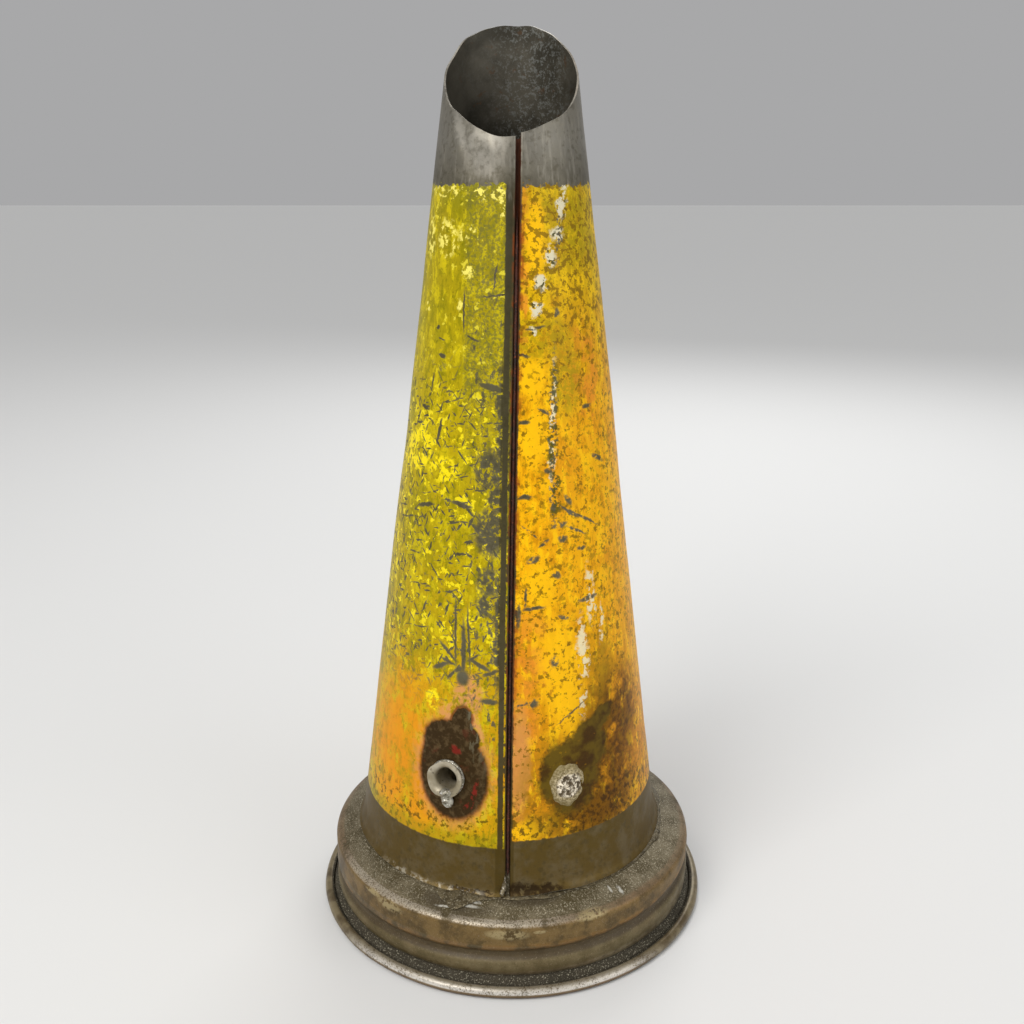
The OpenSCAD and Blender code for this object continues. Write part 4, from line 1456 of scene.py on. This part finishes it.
@dataclass(frozen=True)
class CollarTin(AgedTin):
    """The collar's tin: worn and painted bright on the shoulder's ridge, painted highlight on the hem,
    painted shade in the groove, painted shade and grime in the gutter.
    """

    def build(self) -> bpy.types.Material:
        """Builds the material from height and radius: each zone of the profile has its own tint."""
        net, colour, fine, mottle, _ = self.net()
        radius = net.math("SQRT", net.x * net.x + net.y * net.y)
        azimuth = net.math("ARCTAN2", net.x, net.y * -1.0) * math.degrees(1.0)
        flat = (azimuth, net.z * 4.0)
        grit = net.noise(0.26, detail=4.0, rough_share=0.7, shift=13.0)
        shoulder = net.rise(net.z, 12.2, 12.9) * net.rise(radius, 32.2, 31.6)
        colour = net.mix(shoulder * 0.9, colour, net.mix(net.rise(mottle, 0.36, 0.64), "#52472b", "#766c54"))
        colour = net.mix(shoulder * net.rise(grit, 0.46, 0.36, 0.7), colour, "#352c19")
        colour = net.mix(shoulder * net.rise(grit, 0.54, 0.62, 0.85), colour, "#b9b098")
        wall = net.within(net.z, 8.6, 11.9, 0.6) * net.rise(radius, 31.9, 32.3)
        lacquer = net.mix(net.rise(mottle, 0.40, 0.60), "#56421b", "#7a5e2a")
        colour = net.mix(wall * 0.75, colour, lacquer)
        groove_h = 6.75 + azimuth * (6.0 / 360.0)
        # Painted shade: the thread's groove is darkened where the recess is in shade.
        groove = net.within(net.z - groove_h, -0.9, 0.9, 0.7) * net.rise(net.z, 3.4, 4.2)
        colour = net.mix(groove * 0.85, colour, net.mix(fine, "#33260a", "#4a3812"))
        # Painted highlight: a lighter band on the lip just above the groove.
        lip = net.within(net.z - groove_h, 0.9, 1.7, 0.5) * 0.55
        colour = net.mix(lip * net.rise(mottle, 0.42, 0.58), colour, "#86602a")
        bulge = net.within(net.z - groove_h, -3.0, -1.4, 0.5)
        colour = net.mix(bulge * 0.6, colour, net.mix(mottle, "#4a3f1f", "#786840"))
        # The gutter above the hem: dark grime and painted shade in the recess, with pale specks.
        ledge = net.within(net.z, 1.4, 2.75, 0.25) * net.rise(radius, 34.0, 33.7)
        colour = net.mix(ledge * 0.9, colour, "#2c271a")
        colour = net.mix(ledge * net.rise(grit, 0.56, 0.62, 0.8), colour, "#a59e88")
        # The shoulder's ridge: worn bright tin, with a painted highlight that makes it paler and wider at
        # the front and brown towards the sides.
        ridge = net.within(net.z, 12.0, 12.95, 0.35) * net.within(radius, 31.3, 32.3, 0.25)
        worn_ridge_and_highlight = ridge * net.rise(mottle, 0.34, 0.52) * net.rise(grit, 0.40, 0.54)
        front = net.rise(azimuth, 30.0, 5.0) * net.rise(azimuth, -80.0, -55.0)
        colour = net.mix(worn_ridge_and_highlight * net.blend(front, 0.30, 0.75), colour, net.mix(front, "#86603c", "#b5aa98"))
        flakes = net.spots(flat, (
            (-1.5, 42.5, 5.2, 3.0), (-39.0, 43.5, 4.0, 3.4), (24.0, 48.2, 4.2, 1.9),
            (-46.0, 46.0, 3.0, 1.6), (8.0, 44.0, 1.6, 1.0)), 0.5)
        flakes = flakes * net.rise(fine + mottle * 0.5, 0.66, 0.76)
        colour = net.mix(flakes * 0.85, colour, "#a8976c")
        dusty = (1.0 - shoulder) * (1.0 - ledge)
        colour = net.mix(dusty * net.rise(grit, 0.44, 0.34, 0.5), colour, "#33260f")
        colour = net.mix(dusty * net.rise(grit, 0.58, 0.66, 0.4), colour, "#a3967a")
        # The hem's curl: brown, darker towards the bottom, with a painted highlight, a pale line along the
        # curl, only at the front.
        hem = net.rise(radius, 33.7, 34.0)
        hem_tint_and_highlight = net.ramp(net.z, (
            (0.0, "#3a2410"), (0.6, "#5f4120"), (0.95, "#7d6848"), (1.15, "#e4dfd7"), (1.6, "#c9c2b6"),
            (1.88, "#8f8674")))
        hem_highlight_front = net.within(azimuth, -38.0, 28.0, 22.0) * net.rise(grit + mottle * 0.4, 0.56, 0.70, 0.9)
        hem_tint_and_highlight = net.mix(hem_highlight_front, net.mix(net.rise(mottle, 0.38, 0.62), "#54452a", "#7f7254"), hem_tint_and_highlight)
        colour = net.mix(hem * net.blend(net.rise(fine, 0.30, 0.50), 0.45, 0.95), colour, hem_tint_and_highlight)
        smear = net.spots((azimuth, radius), (
            (-17.0, 29.2, 5.5, 0.28, 2), (-21.5, 30.2, 2.4, 0.16, -4), (-13.0, 28.4, 2.4, 0.30, 5),
            (37.0, 30.0, 0.6, 0.7), (34.0, 29.2, 0.35, 0.6)), 0.5)
        grime = net.spots((azimuth, radius), ((-20.0, 29.6, 11.0, 1.5), (6.0, 28.0, 9.0, 0.9)), 0.6)
        colour = net.mix(grime * net.rise(mottle, 0.34, 0.56, 0.75), colour, "#3a2f1a")
        colour = net.mix(smear * net.rise(fine, 0.34, 0.50, 0.85) * (1.0 - hem), colour, "#c9c6ba")
        metal = net.blend(hem, net.blend(worn_ridge_and_highlight, net.blend(groove | ledge, 0.42, 0.12), 0.35), 0.25)
        roughness = net.blend(worn_ridge_and_highlight | hem, net.blend(fine, 0.42, 0.62) + ledge * 0.3, 0.36)
        height = fine * 0.6 + mottle * 0.5 + flakes * 0.5
        return net.surface(colour, roughness, metal, height, depth=0.10)


@dataclass(frozen=True)
class Solder:
    """Soft solder: grey, bright where it is rubbed, grainy and dirty in its hollows."""

    name: str
    low: str
    high: str
    bright: str
    roughness: float = 0.42
    metallic: float = 0.6
    grain: float = 0.12

    def build(self) -> bpy.types.Material:
        """Builds the material."""
        net = Net(self.name)
        fine = net.noise(0.35, detail=4.0)
        mottle = net.noise(1.3, detail=3.0, shift=4.0)
        colour = net.mix(net.rise(mottle, 0.36, 0.64), self.low, self.high)
        colour = net.mix(net.rise(fine, 0.46, 0.34, 0.75), colour, "#2b2416")
        colour = net.mix(net.rise(fine, 0.54, 0.68), colour, self.bright)
        roughness = net.blend(fine, self.roughness + 0.14, self.roughness - 0.08)
        return net.surface(colour, roughness, self.metallic, fine, depth=self.grain)


@dataclass(frozen=True)
class PlugCrust:
    """The plug's solder: cream crumbs with dark gaps in the middle, a dull grey granular ring outside."""

    size: Measures
    azimuth: float = 23.6
    height: float = 32.1
    name: str = "crumbled_solder_crust"

    def build(self) -> bpy.types.Material:
        """Builds the material from the distance to the plug's middle."""
        net = Net(self.name)
        x, _, z = self.size.on_cone(self.azimuth, self.height, np.zeros((1, 3)))[0]
        away = net.reach((net.x, net.z), (float(x), float(z)), (1.0, 1.0), 0.0)
        away = net.math("SQRT", away)
        chunk = net.noise(0.75, detail=4.0, shift=6.0)
        fine = net.noise(0.3, detail=3.0)
        colour = net.mix(net.rise(fine, 0.40, 0.62), "#7f7049", "#c0b08a")
        colour = net.mix(net.rise(away, 2.5, 3.0, 0.6), colour, "#7a6a3a")
        middle = net.rise(away + (chunk - 0.5) * 2.0, 2.3, 1.8)
        crumbs = net.mix(net.rise(chunk, 0.44, 0.56), "#5a4c34", "#f4e8d0")
        colour = net.mix(middle, colour, crumbs)
        return net.surface(colour, net.blend(middle, 0.6, 0.42), 0.3, chunk + fine * 0.4, depth=0.25)


@dataclass(frozen=True)
class Cork:
    """Pressed cork, dark with oil."""

    name: str = "oiled_cork"

    def build(self) -> bpy.types.Material:
        """Builds the material: crumbs of several browns with dark gaps."""
        net = Net(self.name)
        crumbs = net.cells(1.6)
        fine = net.noise(0.7, detail=4.0)
        colour = net.mix(net.rise(crumbs, 0.1, 0.7), "#7a5632", "#3a2514")
        colour = net.mix(net.rise(fine, 0.55, 0.68, 0.7), colour, "#23160c")
        return net.surface(colour, 0.85, 0.0, fine - crumbs * 0.5, depth=0.2)


# ---------------------------------------------------------------- stage

@dataclass(frozen=True)
class Stage:
    """Floor, lights and camera."""

    camera_place: tuple[float, float, float] = (0.0, -182.3, 128.0)
    camera_pitch: float = 72.802
    camera_view: float = 49.518

    def camera(self) -> None:
        """Makes the camera that looks down at the spout from just in front of it."""
        data = bpy.data.cameras.new("camera")
        data.lens_unit = "FOV"
        data.angle = math.radians(self.camera_view)
        data.clip_start = 0.01
        camera = bpy.data.objects.new("camera", data)
        camera.location = Vector(self.camera_place) * MM
        camera.rotation_euler = (math.radians(self.camera_pitch), 0.0, 0.0)
        bpy.context.scene.collection.objects.link(camera)
        bpy.context.scene.camera = camera

    def floor(self) -> None:
        """Makes the plain pale floor."""
        mesh = bpy.data.meshes.new("floor")
        half = 4000.0 * MM
        mesh.from_pydata([(-half, -half, 0), (half, -half, 0), (half, half, 0), (-half, half, 0)], [],
                         [(0, 1, 2, 3)])
        floor = bpy.data.objects.new("floor", mesh)
        bpy.context.scene.collection.objects.link(floor)
        finish = bpy.data.materials.new("pale_floor")
        finish.use_nodes = True
        shader = finish.node_tree.nodes["Principled BSDF"]
        shader.inputs["Base Color"].default_value = (0.72, 0.72, 0.71, 1.0)
        shader.inputs["Roughness"].default_value = 0.85
        mesh.materials.append(finish)
        floor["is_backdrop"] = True

    def lamp(self, name: str, place: Sequence[float], aim: Sequence[float], width: float, watts: float,
             warmth: Sequence[float] = (1.0, 1.0, 1.0)) -> None:
        """Makes one soft square lamp.

        Args:
            name: of the lamp.
            place: of its middle, in millimetres.
            aim: the point that it faces.
            width: its edge, in millimetres.
            watts: its strength.
            warmth: its colour.
        """
        data = bpy.data.lights.new(name, "AREA")
        data.shape = "SQUARE"
        data.size = width * MM
        data.energy = watts
        data.color = warmth
        lamp = bpy.data.objects.new(name, data)
        lamp.location = Vector(place) * MM
        lamp.rotation_euler = (Vector(aim) - Vector(place)).to_track_quat("-Z", "Y").to_euler()
        bpy.context.scene.collection.objects.link(lamp)

    def build(self) -> None:
        """Makes the stage."""
        bpy.context.scene.view_settings.view_transform = "Standard"
        self.camera()
        self.floor()
        self.lamp("key", (-260, -330, 420), (0, 0, 60), 260, 1.3, (1.0, 0.98, 0.95))
        self.lamp("fill", (420, -260, 240), (0, 0, 70), 380, 0.7, (0.97, 0.98, 1.0))
        self.lamp("back", (120, 420, 380), (0, 0, 70), 320, 1.0)
        sky = bpy.data.objects.new("sky", bpy.data.lights.new("sky", "SUN"))
        sky.data.energy = 0.9
        sky.data.angle = math.radians(50.0)
        sky.rotation_euler = Vector((0.35, 0.55, -1.0)).to_track_quat("-Z", "Y").to_euler()
        bpy.context.scene.collection.objects.link(sky)
        world = bpy.data.worlds.new("studio")
        world.use_nodes = True
        world.node_tree.nodes["Background"].inputs["Color"].default_value = (0.87, 0.87, 0.88, 1.0)
        world.node_tree.nodes["Background"].inputs["Strength"].default_value = 0.45
        bpy.context.scene.world = world


# ---------------------------------------------------------------- putting it together

@dataclass
class Spout:
    """The whole spout: builds each piece, gives it its finish and fixes it to the frame."""

    size: Measures
    body: str = "root"

    def dress(self, piece: bpy.types.Object, slot: str, node: str, *finishes: bpy.types.Material) -> None:
        """Gives a piece its materials and its body, and hides the CAD node that it stands for.

        Args:
            piece: the new piece.
            slot: the record's material slot; not used.
            node: the frame's node that the piece replaces.
            finishes: materials, in the order of Side.
        """
        faces = piece.data.polygons
        places = np.empty(len(faces), dtype=np.int32)
        faces.foreach_get("material_index", places)
        piece.data.materials.clear()
        for finish in finishes:
            piece.data.materials.append(finish)
        faces.foreach_set("material_index", np.minimum(places, len(finishes) - 1))
        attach(piece, self.body)
        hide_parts(node)
        LOG.info("%s: %d faces for %s", piece.name, len(piece.data.polygons), node)

    def build(self) -> None:
        """Builds the pieces in order, from the cone down to the cork washer."""
        inside = TinInside().build()
        cut_edge = AgedTin("cut_tin_edge", "#8a8478", "#b9b3a6", "#efebe2", "#7a5a3c", 0.8, 0.25).build()
        collar = CollarTin("collar_tin", rust_share=0.22).build()
        self.dress(SpoutCone(self.size).build(), "printed_tinplate", "spout_cone",
                   PrintedTin(self.size, Half.LEFT).build(), inside, cut_edge,
                   PrintedTin(self.size, Half.RIGHT).build())
        self.dress(ScrewCollar(self.size).build(), "bare_tinplate", "screw_collar",
                   collar, collar, cut_edge)
        dull = Solder("dull_solder_grain", "#463c26", "#665b42", "#918a76")
        self.dress(CollarSolder(self.size).build(), "dull_solder", "collar_solder", dull.build())
        rusted = Solder("rusted_solder", "#241006", "#4c210d", "#7a3c16", 0.6, 0.1)
        self.dress(SeamSolder(self.size).build(), "rusted_solder", "seam_solder", rusted.build())
        bright = Solder("bright_solder", "#817b6a", "#aaa698", "#f1efe8", 0.30, 0.6).build()
        dirty = Solder("dirty_solder_grain", "#4d4129", "#7d7258", "#d5cfc0", 0.40, 0.4).build()
        self.dress(SeamFootSolder(self.size).build(), "bright_solder", "seam_foot_solder", dirty)
        vent = AirVent(self.size)
        vent_tin = AgedTin("vent_tin", "#968b72", "#c0b7a2", "#ece6d8", "#7a6244", 0.45, 0.2).build()
        self.dress(vent.tube(), "vent_tinplate", "vent_tube", vent_tin, vent_tin, vent_tin)
        self.dress(vent.solder(), "bright_solder", "vent_solder", bright)
        plug = PlugSolder(self.size).build()
        self.dress(plug, "crumbled_solder", "plug_solder", PlugCrust(self.size).build())
        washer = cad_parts["sealing_washer"]
        washer.data.materials.clear()
        washer.data.materials.append(Cork().build())


def whole_box() -> list[list[float]]:
    """Lowest and highest corner of everything that shows, in metres."""
    bpy.context.view_layer.update()
    return [list(corner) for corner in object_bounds()]


def main() -> None:
    """Builds the spout and its stage."""
    logging.basicConfig(level=logging.INFO, format="%(message)s")
    before = whole_box()
    size = Measures(top=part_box("spout_cone")[1].z / MM, hem_r=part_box("screw_collar")[1].x / MM)
    Spout(size).build()
    Stage().build()
    after = whole_box()


if __name__ == "__main__":
    main()
